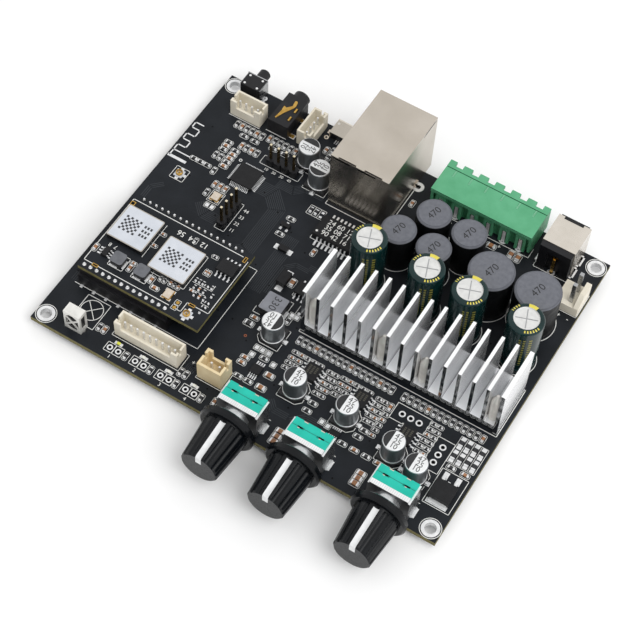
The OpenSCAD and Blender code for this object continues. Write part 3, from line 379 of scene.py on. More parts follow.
# The whole module lies beyond these two lines, so that all of its sides count as cut edges
board_finish("module_mask", MODULE_FOOT, MODULE_TOP, 19.4, 5.4)
Finish("trace_mask", "2b2e32", "35383c", rough=(0.34, 0.44), patch=150, specular=0.2)
Finish("via_mask", "050506", "0a0a0b", rough=(0.4, 0.5), specular=0.1)
Finish("silk", "e4e4e0", "f0f0ec", rough=(0.55, 0.7), patch=1200, fine=5000, grain=0.08)
Finish("tin", "d8d9da", "efefef", rough=(0.28, 0.44), metal=0.5, patch=900, fine=2200, grain=0.05)
Finish("warm_tin", "cdbfae", "ddd2c4", rough=(0.24, 0.36), metal=0.6, patch=900)
Finish("cage_tin", "d8d7d2", "ecebe6", rough=(0.28, 0.4), metal=0.4, patch=500, fine=1500)
Finish("gold", "b08a42", "d0a95c", rough=(0.22, 0.34), metal=0.95, patch=700, fine=2600)
Finish("copper", "8f5236", "a8664a", rough=(0.35, 0.5), metal=0.8, patch=700)
Finish("screw_steel", "c6c3bd", "dad7d1", rough=(0.3, 0.42), metal=0.6, patch=350)
Finish("plate_steel", "a3a5a7", "bcbdbe", **STEEL)
Finish("nickel", "bab2a6", "c7bfb4", **NICKEL)
Finish("pale_nickel", "cdc6bb", "dad3c9", rough=(0.2, 0.3), metal=0.85, patch=200, fine=900, grain=0.02)
Finish("package", "141416", "1b1b1d", rough=(0.45, 0.6), patch=500, fine=4000, grain=0.1, specular=0.25)
Finish("black_plastic", "121214", "1b1b1e", **PLASTIC)
Finish("lens_black", "070709", "0c0c0e", rough=(0.26, 0.36), specular=0.3)
Finish("pad_rubber", "7d878f", "8f9aa3", rough=(0.6, 0.75))
Finish("pot_green", "17b09c", "24bfab", **PLASTIC)
Finish("cream_nylon", "dcd4c1", "e9e3d4", **PLASTIC)
Finish("tan_nylon", "dbc69b", "e8d7b2", **PLASTIC)
Finish("slot_green", "0b5d52", "0f6b5f", rough=(0.5, 0.6), patch=900)
Finish("ink_dark", "2c2d30", "3a3b3f", rough=(0.55, 0.65), patch=900)
Finish("ink_black", "141416", "1e1e21", rough=(0.4, 0.5), patch=900)
Finish("chip_ink", "3a382f", "47443a", rough=(0.5, 0.6), patch=900)
Finish("label_white", "c6cbd3", "d2d6dd", rough=(0.5, 0.6), patch=300, fine=3500)
Finish("chip_black", "1d1d1f", "2a2a2d", rough=(0.3, 0.45), patch=1500)
Finish("chip_tan", "8c5f41", "aa7a54", rough=(0.4, 0.55), patch=1500)
Finish("lamp_clear", "dcdcd2", "ecece4", rough=(0.2, 0.3), patch=900)
Finish("lamp_yellow", "cfd23c", "dfe25c", rough=(0.2, 0.3), patch=900)
for make in (header_pin_finish, shield_finish, sink_finish, pot_plate_finish, shell_finish, terminal_finish,
             ferrite_finish, can_finish):
    make()
coil_finish("small_coil", SMALL_COIL_TOP)
coil_finish("large_coil", LARGE_COIL_TOP)
for name, place in zip(numbered("sleeve", 4), BULK_CAPACITORS):
    sleeve_finish(name, *place)
for name, x in zip(numbered("knob", 3), CONTROLS):
    knob_finish(name, x)

# The solids in each finish. The one left out, chip_components, is replaced.
WORN_BY = {
    "board_mask": ["pcb"], "module_mask": ["module_board"], "sink_metal": ["heatsink"],
    "screw_steel": ["heatsink_screws"], "pad_rubber": ["thermal_pads"], "small_can": ["smd_capacitors"],
    "package": ["amplifier_chips", "chip_packages"], "module_can": ["module_shields"],
    "black_plastic": ["module_sockets", "module_headers", "network_jack_insulator", "data_socket_tongue",
                      "audio_jack_body", "switch_body", "switch_plunger", "dc_jack_body", "pin_header_bases"],
    "tin": ["module_pins", "terminal_pins", "connector_pins"],
    "gold": ["network_jack_contacts", "audio_jack_contacts", "dc_jack_contacts"],
    "nickel": ["network_jack_shield"], "shell_nickel": ["data_socket_shell"],
    "pale_nickel": ["dc_jack_shield"], "header_pin": ["pin_header_pins"],
    "plate_steel": ["switch_frame", "power_header_pins"] + numbered("pot_shaft", 3),
    "terminal_green": ["terminal_housing"], "tan_nylon": ["aux_connector_housing"],
    "cream_nylon": ["power_header_housing", "wire_connector_housings"],
    "lens_black": ["ir_receiver"], "cage_tin": ["ir_receiver_cage"], "small_ferrite": ["power_inductors"],
    "small_coil": numbered("filter_inductor", 4), "large_coil": numbered("bass_inductor", 2),
    "pot_green": numbered("pot_housing", 3), "pot_plate": numbered("pot_frame", 3),
}
for i in range(1, 5):
    WORN_BY[f"sleeve_{i}"] = [f"bulk_capacitor_{i}"]
for name in numbered("knob", 3):
    WORN_BY[name] = [name]
for finish, wearers in WORN_BY.items():
    for name in wearers:
        mesh = nodes[name].data
        for place in range(len(mesh.materials)):
            mesh.materials[place] = FINISHES[finish]


# ---- Mesh helpers ----

FIGURES = {}
MANY_FACES = 1200


def placed(x, y, z, turn):
    """Where a thing stands, and its turn in degrees about the upright axis."""
    return Matrix.Translation((x, y, z)) @ Matrix.Rotation(math.radians(turn), 4, "Z")


def put(name, data):
    """An object of the scene that shows this data."""
    thing = bpy.data.objects.new(name, data)
    scene.collection.objects.link(thing)
    return thing


class Piece:
    """One piece of the dressing, built in millimetres. Its first finish is the usual one."""

    def __init__(self, *finishes):
        self.mesh = bmesh.new()
        self.finishes = finishes
        self.ready = []

    def settle(self):
        """Sets the work so far aside, so that every operator works on a small mesh."""
        if len(self.mesh.faces) > MANY_FACES:
            self.ready.append(bpy.data.meshes.new("settled"))
            self.mesh.to_mesh(self.ready[-1])
            self.mesh.clear()

    def index(self, finish):
        return self.finishes.index(finish or self.finishes[0])

    def coat(self, verts, finish):
        """Gives every face at these vertices its finish."""
        index = self.index(finish)
        for vert in verts:
            for face in vert.link_faces:
                face.material_index = index

    def block(self, x, y, z, w, d, h, finish=None, turn=0.0, soft=0.0):
        """A block whose foot is centred on x, y, z."""
        self.settle()
        at = placed(x, y, z + h / 2, turn)
        made = bmesh.ops.create_cube(self.mesh, size=1.0, matrix=at @ Matrix.Diagonal((w, d, h, 1)))
        if soft:
            edges = list({e for v in made["verts"] for e in v.link_edges})
            made = bmesh.ops.bevel(self.mesh, geom=edges, offset=soft, offset_type="OFFSET", segments=2,
                                   profile=0.5, affect="EDGES", material=-1)
        self.coat(made["verts"], finish)

    def rod(self, x, y, z, r, h, finish=None, r_top=None, sides=20):
        """A round rod or cone on its foot."""
        self.settle()
        made = bmesh.ops.create_cone(self.mesh, cap_ends=True, segments=sides, radius1=r,
                                     radius2=r if r_top is None else r_top, depth=h,
                                     matrix=Matrix.Translation((x, y, z + h / 2)))
        self.coat(made["verts"], finish)

    def ring(self, x, y, z, r_in, r_out, h, finish=None, steps=32, corner=0.0):
        """A flat ring, its section spun round the upright axis."""
        self.settle()
        low, high = z, z + h
        section = [(r_in, low), (r_out, low), (r_out, high - corner), (r_out - corner, high), (r_in, high)]
        if not corner:
            del section[3]
        verts = [self.mesh.verts.new((x + r, y, zz)) for r, zz in section]
        edges = [self.mesh.edges.new((verts[i - 1], verts[i])) for i in range(len(verts))]
        bmesh.ops.spin(self.mesh, geom=verts + edges, cent=(x, y, 0), axis=(0, 0, 1), angle=2 * math.pi,
                       steps=steps, use_merge=True)
        self.coat(self.island(verts[0]), finish)

    def island(self, vert):
        """All vertices that hang together with vert."""
        found, waiting = {vert}, [vert]
        while waiting:
            for edge in waiting.pop().link_edges:
                for other in edge.verts:
                    if other not in found:
                        found.add(other)
                        waiting.append(other)
        return found

    def add(self, mesh, finish=None):
        """Takes in a mesh made elsewhere, all of it in one finish."""
        mesh.polygons.foreach_set("material_index", [self.index(finish)] * len(mesh.polygons))
        self.mesh.from_mesh(mesh)
        bpy.data.meshes.remove(mesh)

    def stroke(self, points, z, wide, high=COATING):
        """A flat line through points."""
        for (x0, y0), (x1, y1) in zip(points, points[1:]):
            length = math.hypot(x1 - x0, y1 - y0)
            turn = math.degrees(math.atan2(y1 - y0, x1 - x0))
            self.block((x0 + x1) / 2, (y0 + y1) / 2, z, length + wide, wide, high, turn=turn)

    def frame(self, x0, x1, y0, y1, z, wide):
        self.stroke([(x0, y0), (x1, y0), (x1, y1), (x0, y1), (x0, y0)], z, wide)

    def frame_round(self, x, y, half_w, half_d, z, wide):
        self.frame(x - half_w, x + half_w, y - half_d, y + half_d, z, wide)

    def number(self, words, x, y, z, size, turn=0.0, high=COATING, finish=None):
        """Plain figures or signs, made a mesh before they are placed."""
        if words not in FIGURES:
            curve = bpy.data.curves.new("figures", "FONT")
            curve.body, curve.size, curve.extrude = words, 1.0, 0.5
            curve.align_x, curve.align_y, curve.resolution_u = "CENTER", "CENTER", 3
            holder = put("figures", curve)
            bpy.context.view_layer.update()
            FIGURES[words] = bpy.data.meshes.new_from_object(
                holder.evaluated_get(bpy.context.evaluated_depsgraph_get()))
            bpy.data.objects.remove(holder)
            bpy.data.curves.remove(curve)
        mesh = FIGURES[words].copy()
        mesh.transform(placed(x, y, z + high / 2, turn) @ Matrix.Diagonal((size, size, high, 1)))
        self.add(mesh, finish)

    def done(self, name, body="board"):
        for mesh in self.ready:
            self.mesh.from_mesh(mesh)
            bpy.data.meshes.remove(mesh)
        bmesh.ops.recalc_face_normals(self.mesh, faces=self.mesh.faces)
        bmesh.ops.scale(self.mesh, vec=(MM, MM, MM), verts=self.mesh.verts)
        mesh = bpy.data.meshes.new(name)
        self.mesh.to_mesh(mesh)
        self.mesh.free()
        for finish in self.finishes:
            mesh.materials.append(FINISHES[finish])
        thing = put(name, mesh)
        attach(thing, body)
        return thing


# ---- Chip parts, their pads and printed frames ----

silk = Piece("silk")
pads = Piece("tin", "gold", "copper", "via_mask")
parts = Piece("chip_black", "chip_tan", "tin")
SIZES = {"tiny": (1.0, 0.6, 0.4), "small": (1.6, 0.8, 0.45), "large": (2.0, 1.25, 0.65)}
FRAME_CUT = 0.28


def turned(along, length, across):
    """A length along x or y, and the one across it, in the order of x and y."""
    return (length, across) if along == "x" else (across, length)


def chip(x, y, size, along="x", tan=False, z=TOP, framed=True):
    """A chip resistor or capacitor on its two pads, inside a printed frame."""
    length, width, height = SIZES[size]

    def lay(piece, offset, foot, span, across, tall, finish=None):
        dx, dy = turned(along, offset, 0)
        piece.block(x + dx, y + dy, foot, *turned(along, span, across), tall, finish)

    lay(parts, 0, z + 0.03, length * 0.62, width * 0.94, height * 0.94, "chip_tan" if tan else "chip_black")
    for side in BOTH:
        lay(parts, side * length * 0.405, z + 0.02, length * 0.19, width, height, "tin")
        lay(pads, side * (length * 0.5 + 0.02), z, 0.26 + length * 0.14, width * 0.96, THIN_PAD)
        lay(pads, side * (length * 0.5 + 0.04), z + 0.04, 0.12, width * 0.85, height * 0.4)
    if framed:
        w, d = turned(along, length / 2 + 0.56, width / 2 + 0.32)
        p, q = w - FRAME_CUT, d - FRAME_CUT
        silk.stroke([(x + dx, y + dy) for dx, dy in (
            (-p, -d), (p, -d), (w, -q), (w, q), (p, d), (-p, d), (-w, q), (-w, -q), (-p, -d))], z, 0.11)


# Rows by size and direction: the first place, how many, the step, and which of them are tan
CHIP_ROWS = {
    ("small", "y"): [
        (2.5, -17.4, 17, 1.79, 0, 3, 9, 14), (35, -17.4, 14, 1.815, 0, 4, 13),
        (-51.2, 35.4, 6, 1.68, 0, 1, 4), (-40.5, 36, 6, 1.76, 0, 0, 5), (-45.9, 29.4, 4, 1.7, 0, 0, 2),
        (-44.9, 13.8, 3, 1.75, 0, 0, 1, 2), (-33.9, -46.6, 4, 7.97, 0), (-44.9, -42.8, 2, 1.65, 0, 1),
        (-18.9, -42.8, 2, 1.65, 0), (-22.8, 42.0, 2, 0, -2.6)],
    ("small", "x"): [
        (28.2, -38.2, 4, 3.6, 0, 1, 3), (-2.4, -35.6, 2, -3.1, 0), (-7, -29.8, 2, 0, -1.8, 0, 1),
        (-46.4, 26.8, 5, 0, -1.6, 1, 2, 4), (-49.7, 28.5, 3, 0, -1.55, 1), (-54.9, 18.2, 3, 2.2, 0)],
    ("large", "x"): [
        (12.9, -47.3, 3, 0, 1.7, 0, 1, 2), (36.8, -46.4, 3, 0, 1.6, 0, 1, 2), (1.5, -31.2, 2, 0, -4.3, 0, 1)],
    ("large", "y"): [(37.4, 38, 2, 2.2, 0, 0, 1)],
    ("tiny", "x"): [
        (33.4, -24.8, 5, 0, -1.8, 1, 4), (45.6, -20.4, 6, 0, -1.86, 2), (47.5, -20.4, 6, 0, -1.86, 5)],
}
# Round two of the signal chips
for x in (3.6, 18.8):
    CHIP_ROWS["tiny", "x"] += [
        (x, -21.2, 5, 1.95, 0, 1), (x, -23.2, 3, 0, -1.75, 0), (x + 2.15, -23.2, 3, 0, -1.75, 0),
        (x + 11, -21.6, 5, 0, -1.87, 2), (x + 12.8, -21.6, 5, 0, -1.87, 3)]
for (size, along), rows in CHIP_ROWS.items():
    for x, y, count, dx, dy, *tan in rows:
        for i in range(count):
            chip(x + i * dx, y + i * dy, size, along, i in tan)
# Single ones: size, direction, whether tan, and their places
for size, along, tan, places in [
        ("small", "x", False, [(-47.2, 32.7), (-43.6, 32.7), (-37.7, 33.3), (-34, 33.3), (-20.4, 15.2),
                               (-20.4, 9.2), (15.6, -32.1), (15.4, -34.8), (31.1, -31.9), (30.6, -34.3),
                               (-2.5, -27.4), (55.6, -29.2)]),
        ("small", "x", True, [(-11.5, -17.9), (59.7, -29.2)]),
        ("small", "y", False, [(-50.5, 22.7), (-48.8, 22.7), (-47.8, 17.6), (-45.4, 10.2), (-3.3, -13.9)]),
        ("small", "y", True, [(-9.2, 8.9), (5.6, 38.3), (-24.6, 41.3), (33.4, -22.2), (-6.4, -45.6)]),
        ("large", "x", False, [(-11.9, -20.2)]), ("large", "x", True, [(31.3, 37.6)]),
        ("large", "y", True, [(-8.8, -2.9)])]:
    for x, y in places:
        chip(x, y, size, along, tan)
# Two rows of larger parts in the corner, whose long pads meet
for i in range(4):
    x = 54.5 + i * 2.03
    for y in (-21.6, -25.9):
        chip(x, y, "large", "y", framed=False)
        for side in BOTH:
            pads.block(x, y + side * 1.52, TOP, 1.3, 0.9, 0.3, soft=0.1)
    silk.frame(x - 0.98, x + 0.98, -28.05, -19.5, TOP, FINE)
# Two parts and an empty place in one ladder of frames
for x in (-17.3, -15.6):
    chip(x, 21, "small", "y", framed=False)
for y in (20.2, 21.8):
    pads.block(-13.9, y, TOP, 0.85, 0.7, PAD, soft=0.02)
silk.frame(-18.2, -13.1, 19.4, 22.6, TOP, 0.13)
for x in (-16.45, -14.75):
    silk.stroke([(x, 19.4), (x, 22.6)], TOP, 0.13)

# Lamps: a clear lens block between two plated ends
lamps = Piece("lamp_clear", "lamp_yellow", "tin")
for i, x in enumerate((-37.6, -29.56, -21.52, -13.48)):
    lamps.block(x, -44.4, TOP + 0.03, 1.0, 0.8, 0.45, "lamp_clear" if i else "lamp_yellow", soft=0.12)
    lamps.block(x, -44.4, TOP + 0.02, 1.6, 0.78, 0.16, "tin")
    for side in BOTH:
        pads.block(x + side * 0.85, -44.4, TOP, 0.7, 0.9, PAD)

# Chip parts on the plug-in board, without frames in its crowded corner
for size, along, tan, places in [
        ("small", "x", True, [(-36.4, -28.7)]),
        ("small", "y", True, [(-57.2, -26.3), (-45.5, -26.9), (-38.5, -26.9)]),
        ("tiny", "x", True, [(-45.5, -25.2), (-44.2, -13.0), (-44.2, -17.4), (-27.6, -24.1)]),
        ("tiny", "x", False, [(-28.2, -11.6), (-25.0, -20.8), (-22.0, -25.2), (-22.0, -26.7)]),
        ("tiny", "y", True, [(-27.6, -17.0), (-26.7, -17.0), (-33.6, -25.0), (-31.2, -25.0)]),
        ("tiny", "y", False, [(-36.6, -25.2), (-35.4, -25.2), (-35.6, -10.0), (-28.4, -20.4), (-27.3, -20.4),
                              (-26.2, -20.4), (-23.4, -20.4), (-22.0, -22.6), (-22.0, -28.4),
                              (-32.4, -25.0)])]:
    for x, y in places:
        chip(x, y, size, along, tan, MODULE_TOP, framed=x < -29 or y > -19)
for i in range(3):
    for x, y in ((-27.6 + i * 1.5, -22.6), (-26.3 + i * 1.5, -24.6)):
        chip(x, y, "tiny", "y", i == 1, MODULE_TOP, framed=False)

# ---- Leads of the chips ----

leads = Piece("tin")


def lead_row(x, y, count, pitch, reach, along, z=TOP, wide=0.36, tall=0.75, foot_pad=1.1):
    """Bent leads on both long sides of a chip: shoulder, drop and foot on its pad."""

    def lay(piece, step, offset, foot, across, length, high):
        dx, dy = turned(along, step, offset)
        piece.block(x + dx, y + dy, z + foot, *turned(along, across, length), high)

    for i in range(count):
        step = (i - (count - 1) / 2) * pitch
        for side in BOTH:
            for out, length, foot, high in ((0.2, 0.5, tall - 0.1, 0.12), (0.42, 0.12, 0.04, tall - 0.02),
                                            (0.72, 0.62, 0.04, 0.12)):
                lay(leads, step, side * (reach + out), foot, wide, length, high)
            lay(pads, step, side * (reach + 0.35 + foot_pad / 2), 0, wide * 1.3, foot_pad, THIN_PAD)


for along in "xy":
    lead_row(*CONTROLLER, 12, 0.5, 3.5, along, wide=0.2, foot_pad=0.8)
for x, y in SIGNAL_CHIPS:
    lead_row(x, y, 4, 1.27, 2.0, "y")
lead_row(-23.1, -13.3, 4, 1.27, 2.0, "x", z=MODULE_TOP)
# Network transformer, with full joints along its front
lead_row(-6.2, 17, 8, 1.27, 3.6, "x", wide=0.45, tall=1.0, foot_pad=2.0)
for i in range(8):
    pads.block(-10.65 + i * 1.27, 12.2, TOP, 0.66, 1.3, 0.3, soft=0.14)
# Converter chip and small square chip
lead_row(-4.2, -3.7, 4, 1.27, 1.95, "x")
lead_row(-2.3, -31.6, 4, 0.65, 1.4, "x", wide=0.26, tall=0.4)
lead_row(*SIX_LEGGED, 3, 0.95, 0.8, "y", z=MODULE_TOP, wide=0.34, tall=0.6)
# Diodes: a broad lead at each end
for x, y, dx, dy, w, d in ((-11.1, -3.5, 0, 2.6, 1.5, 0.9), (-16.8, 5.2, 1.85, 0, 0.9, 1.1)):
    for side in BOTH:
        leads.block(x + side * dx, y + side * dy, TOP + 0.05, w, d, 0.3, soft=0.05)
        pads.block(x + side * dx * 1.12, y + side * dy * 1.12, TOP, w + 0.5, d + 0.6, PAD)
# Regulator: two legs, a cropped middle leg and the cooling tab
for x in (REGULATOR_X - 1.8, REGULATOR_X + 1.8):
    leads.block(x, -33.2, TOP + 0.6, 0.8, 2.2, 0.4, soft=0.06)
    leads.block(x, -32.2, TOP + 0.04, 0.8, 0.4, 0.9, soft=0.06)
    pads.block(x, -31.9, TOP, 1.4, 2.2, PAD)
leads.block(REGULATOR_X, -33.9, TOP + 0.6, 0.8, 0.9, 0.4, soft=0.06)
leads.block(REGULATOR_X, -40.2, TOP + 0.04, 5.0, 1.1, 0.5, soft=0.08)
pads.block(REGULATOR_X, -39.8, TOP, 6.0, 2.4, PAD)

# Small parts with legs, on the main board and on the module
small_packages = Piece("package")
small_packages.block(*THREE_LEGGED, TOP + 0.1, 2.9, 1.3, 0.95, soft=0.08)
small_packages.block(*SIX_LEGGED, MODULE_TOP + 0.1, 1.6, 2.9, 0.95, soft=0.08)
small_packages.block(*TEN_LEGGED, TOP + 0.1, 3.0, 1.5, 0.75, soft=0.06)
lead_row(*TEN_LEGGED, 5, 0.55, 0.72, "x", wide=0.24, tall=0.45, foot_pad=0.7)
for dx, side in ((-0.95, -1), (0.95, -1), (0, 1)):
    x, y = THREE_LEGGED
    leads.block(x + dx, y + side * 0.95, TOP + 0.04, 0.4, 0.7, 0.14)
    pads.block(x + dx, y + side * 1.15, TOP, 0.7, 0.8, THIN_PAD)

# ---- Crystals and coaxial sockets ----

crystals = Piece("warm_tin", "gold", "label_white")
for x, y, z, w, d in ((-42.2, 10.1, TOP, 2.6, 3.0), (-32.2, -28.4, MODULE_TOP, 2.5, 3.2)):
    crystals.block(x, y, z, w, d, 0.35, "gold", soft=0.05)
    crystals.block(x, y, z + 0.3, w - 0.3, d - 0.3, 0.4, soft=0.12)
    for sx, sy in CORNERS:
        pads.block(x + sx * w * 0.38, y + sy * d * 0.4, z, 1.1, 0.9, THIN_PAD)
for x, y, z in ((-55.4, 11.4, TOP), (-24.6, -31.1, MODULE_TOP)):
    crystals.block(x, y, z, 2.6, 2.6, 0.35, "label_white", soft=0.06)
    crystals.ring(x, y, z + 0.3, 0.75, 1.0, 0.85, "gold", steps=28, corner=0.1)
    crystals.rod(x, y, z + 0.3, 0.24, 0.6, "gold", sides=14)
    for dx, dy, w in ((0, -1.6, 1.0), (0, 1.6, 1.0), (1.6, 0, 0.9)):
        pads.block(x + dx, y + dy, z, w, 0.9, 0.08)

# ---- Printed lines and pads of the main board ----

PRINTED_LINES = {
    BOLD: [
        [(-58.9, -34.45), (-19.1, -34.45), (-19.1, -4.6), (-58.9, -4.6)],
        [(-15.2, 26.2), (-15.2, 25.1), (3.5, 25.1), (3.72, 25.1), (3.72, 42.6)],
        [(9.4, 43), (9.4, 39.7), (41.9, 39.7), (41.9, 43)],
        [(-13.2, -14.4), (-13.2, -16.3), (-11, -16.3)]],
    LINE: [
        [(-12.75, 14.2), (-12.75, 12.75), (0.4, 12.75)],
        [(-12.75, 19.8), (-12.75, 21.3)],
        [(44.2, 40.2), (44.2, 38.2), (54.8, 38.2)],
        [(54.8, 29.2), (62.1, 29.2), (62.1, 37.6)],
        [(-55.3, 37.4), (-45, 37.4)],
        [(-43.3, 38.3), (-36.6, 38.3)],
        [(-5.9, -8.3), (-5.0, -8.3), (-5.0, -12.8)]],
    THIN: [
        [(-3.0, -8), (-3.0, -10.9)],
        [(-6.9, -1.2), (-6.9, -6.2), (-6.3, -6.2)]],
}
for wide, paths in PRINTED_LINES.items():
    for points in paths:
        silk.stroke(points, TOP, wide)
# Left, right, front and back of each frame
PRINTED_FRAMES = {
    BOLD: [(-53.4, -46.1, -44.6, -35.8)],
    LINE: [(0.75, 61.2, -15.0, 1.6), (34.5, 44.7, -24.8, -19.6), (48.4, 53.4, -32.8, -22.8),
           (53.8, 61.5, -41.4, -30.3), (-57.5, -53.2, 9.2, 13.6), (-40.9, -19.7, -42.9, -37.3),
           (-14.8, -6.8, -42.0, -35.7)],
    0.15: [(-38.5, -25.7, 27.2, 30.3), (-37.2, -34.0, 1.3, 12.1)],
    THIN: [(-44.1, -40.3, 8.0, 12.2)],
}
for wide, edges in PRINTED_FRAMES.items():
    for edge in edges:
        silk.frame(*edge, TOP, wide)
# Rings round the upright parts: places, inner and outer radius, steps
for places, r_in, r_out, steps in ((BULK_CAPACITORS, 5.3, 5.5, 56), (SMALL_COILS, 5.25, 5.45, 56),
                                   (LARGE_COILS, 6.8, 7.0, 64), ([RECEIVER], 3.1, 3.3, 48),
                                   ([(-43.4, 24.9)], 0.3, 0.5, 20)):
    for x, y in places:
        silk.ring(x, y, TOP, r_in, r_out, COATING, steps=steps)
for turn in (45, 135):
    silk.block(*RECEIVER, TOP, 6.4, 0.2, COATING, turn=turn)
# Mounting holes
for sx, sy in CORNERS:
    x, y = sx * MOUNTING_HOLE[0], sy * MOUNTING_HOLE[1]
    for z in (TOP, -THIN_PAD):
        pads.ring(x, y, z, 1.6, 2.5, THIN_PAD, steps=48)
    silk.ring(x, y, TOP, 2.8, 2.97, 0.03, steps=48)
# Small cans: two printed halves, pads and solder
CAN_OUTLINE = [(-3.6, 1.1), (-3.6, 3.6), (2.1, 3.6), (3.6, 2.1), (3.6, 1.1)]
for x, y, turn in CANS:
    spot = placed(x, y, 0, turn)
    w, d = (1.7, 1.3) if turn in (0, 180) else (1.3, 1.7)
    for side in BOTH:
        silk.stroke([(spot @ Vector((px, side * py, 0)))[:2] for px, py in CAN_OUTLINE], TOP, LINE)
        dx, dy, _ = placed(0, 0, 0, turn) @ Vector((side * 3.75, 0, 0))
        pads.block(x + dx, y + dy, TOP, w, d, PAD)
        pads.block(x + dx * 0.97, y + dy * 0.97, TOP + 0.04, w * 0.55, d * 0.62, 0.22, soft=0.08)


def plated_hole(x, y, r_in, r_out):
    """Bare rings round a spare hole, above and below."""
    for z in (TOP, -0.04):
        pads.ring(x, y, z, r_in, r_out, 0.04, steps=24)


for i, x in enumerate((-37.7, -29.6, -21.55, -13.6), 1):
    for hole in (x - 1.34, x + 1.34):
        silk.frame(hole - 1.28, hole + 1.28, -47.9, -45.1, TOP, LINE)
        plated_hole(hole, -46.5, 0.45, 0.85)
    silk.number(str(i), x, -49.0, TOP, 1.5)
for i in BOTH + (0,):
    plated_hole(39.6 + i * 2.54, -22.2, 0.55, 0.95)
    plated_hole(50.9, -27.7 + i * 2.54, 0.55, 0.95)
for x, y in SIGNAL_CHIPS:
    for end in (y - 2.75, y + 2.75):
        silk.stroke([(x - 1.6, end), (x + 1.6, end)], TOP, LINE)
    silk.ring(x - 2.6, y + 2.9, TOP, 0.0001, 0.25, COATING, steps=14)
# Numbers beside the bare headers, and signs beside the power and speaker connectors
for i in range(4):
    silk.number(str(10 * (i + 1)), -35.61 + i * 2.54, 26.1, TOP, 1.3)
    silk.number(str(11 * (i + 1)), -32.4, 2.89 + i * 2.54, TOP, 1.6)
for i in range(3):
    silk.number("+", 13.0 + i * 10.16, 38.6, TOP, 1.8)
    silk.number("-", 18.1 + i * 10.16, 38.6, TOP, 1.8)
for sign, x, y in (("+", -17.6, -38.6), ("+", 57.6, 27.6), ("-", 60.4, 27.6)):
    silk.number(sign, x, y, TOP, 2.0)
# Pads of the converter's coil, and of the controls' side arms
for x in (-12.2, -4.9):
    pads.block(x, -12.9, TOP, 1.0, 2.6, 0.12, soft=0.04)
for x in CONTROLS:
    silk.stroke([(x - 6.3, -42.4), (x + 6.3, -42.4)], TOP, LINE)
    for side in BOTH:
        pads.block(x + side * 5.85, -45.4, TOP, 2.2, 3.0, PAD, soft=0.02)
# Printed aerial in the corner, plated bare
for points, wide in (
        ([(-59.1, 29.5), (-61.7, 29.5), (-61.7, 27.4), (-59, 27.4), (-59, 24.8), (-61.7, 24.8), (-61.7, 22.6),
          (-59, 22.6), (-59, 20.1), (-61.7, 20.1), (-61.7, 15.8)], 0.38),
        ([(-61.7, 15.6), (-56.5, 15.6)], 0.9), ([(-61.7, 17.9), (-56.3, 17.9)], 0.38)):
    pads.stroke(points, TOP, wide, 0.04)
# Test points and unfitted pads
for x, y in ((-2.3, -25.4), (-4.2, -25.4), (-6, -25.4), (-6, -28), (0.6, -27.8), (-3.4, -11.8), (-1.9, -11.8),
             (-42.9, 6.6), (-41.3, 6.6), (20.4, -35.5), (22.4, -35.8)):
    pads.block(x, y, TOP, 1.1, 1.2, PAD, soft=0.02)
    silk.frame_round(x, y, 0.8, 0.85, TOP, FINE)
pads.ring(-10.6, -24, TOP, 0.22, 0.42, 0.03, "copper", steps=18)
for x, y in ((-0.6, -10.9), (-2.1, -10.4)):
    pads.rod(x, y, TOP, 0.5, 0.22, r_top=0.24, sides=16)
# Feet of the module's sockets
for i in range(7):
    pads.block(-56.55 + i * 4.0, -34.65, TOP, 0.8, 1.1, 0.2, soft=0.05)
    pads.block(-54.55 + i * 4.0, -4.0, TOP, 0.8, 1.6, 0.2, soft=0.05)

# ---- Printed lines, pads and pins of the module ----

for points, wide in (
        ([(-28.6, -23.6), (-23.4, -23.6), (-23.4, -26.0), (-21.0, -26.0)], FINE),
        ([(-29.0, -21.4), (-23.0, -21.4), (-23.0, -19.4)], FINE),
        ([(-21.9, -7.4), (-57.6, -7.4), (-57.6, -31.1), (-30.3, -31.1)], 0.2),
        ([(-19.9, -8.2), (-19.9, -27.8), (-24, -27.8), (-26.5, -27.8), (-26.5, -31.1), (-29, -31.1)], BOLD),
        ([(-44.9, -22.2), (-44.9, -10.0)], LINE)):
    silk.stroke(points, MODULE_TOP, wide)
silk.frame(-41.9, -29.7, -24.9, -12.7, MODULE_TOP, LINE)
# Chokes
for x, y in ((-49.2, -26.8), (-41.7, -26.8)):
    silk.frame_round(x, y, 2.3, 2.3, MODULE_TOP, LINE)
    for side in BOTH:
        pads.block(x + side * 2.05, y - 0.3, MODULE_TOP, 0.5, 2.6, 0.4, soft=0.05)
    pads.block(x - 0.5, y - 2.05, MODULE_TOP, 2.4, 0.5, 0.3, soft=0.05)
silk.number("12  34  56", -36.5, -10.0, MODULE_TOP, 2.4, 180)
silk.number("7  8", -53.5, -23.4, MODULE_TOP, 1.7, 180)
# Bare gold pads, and the pins in their rows
for x, y, w, d in ((-20.9, -8.0, 0.9, 1.9), (-53.9, -31.2, 1.9, 0.9), (-25.0, -27.9, 1.9, 0.9),
                   (-57.0, -8.8, 1.4, 1.4)):
    pads.block(x, y, MODULE_TOP, w, d, THIN_PAD, "gold", soft=0.02)
    pads.block(x, y, MODULE_TOP + THIN_PAD, w - 0.45, d - 0.45, 0.01, "via_mask")
for y in (-29.2, -30.9):
    pads.rod(-28.6, y, MODULE_TOP, 0.5, THIN_PAD, "gold")
    silk.frame_round(-28.6, y, 0.8, 0.75, MODULE_TOP, FINE)
for i in range(14):
    pads.rod(-56.55 + i * 2.0, -32.45, MODULE_TOP, 0.54, 0.35, r_top=0.25, sides=16)
for i in range(17):
    pads.rod(-55.05 + i * 2.0, -6.15, MODULE_TOP, 0.33, 0.25, r_top=0.16, sides=16)

# ---- Labels, marks on cans, coils and chips ----

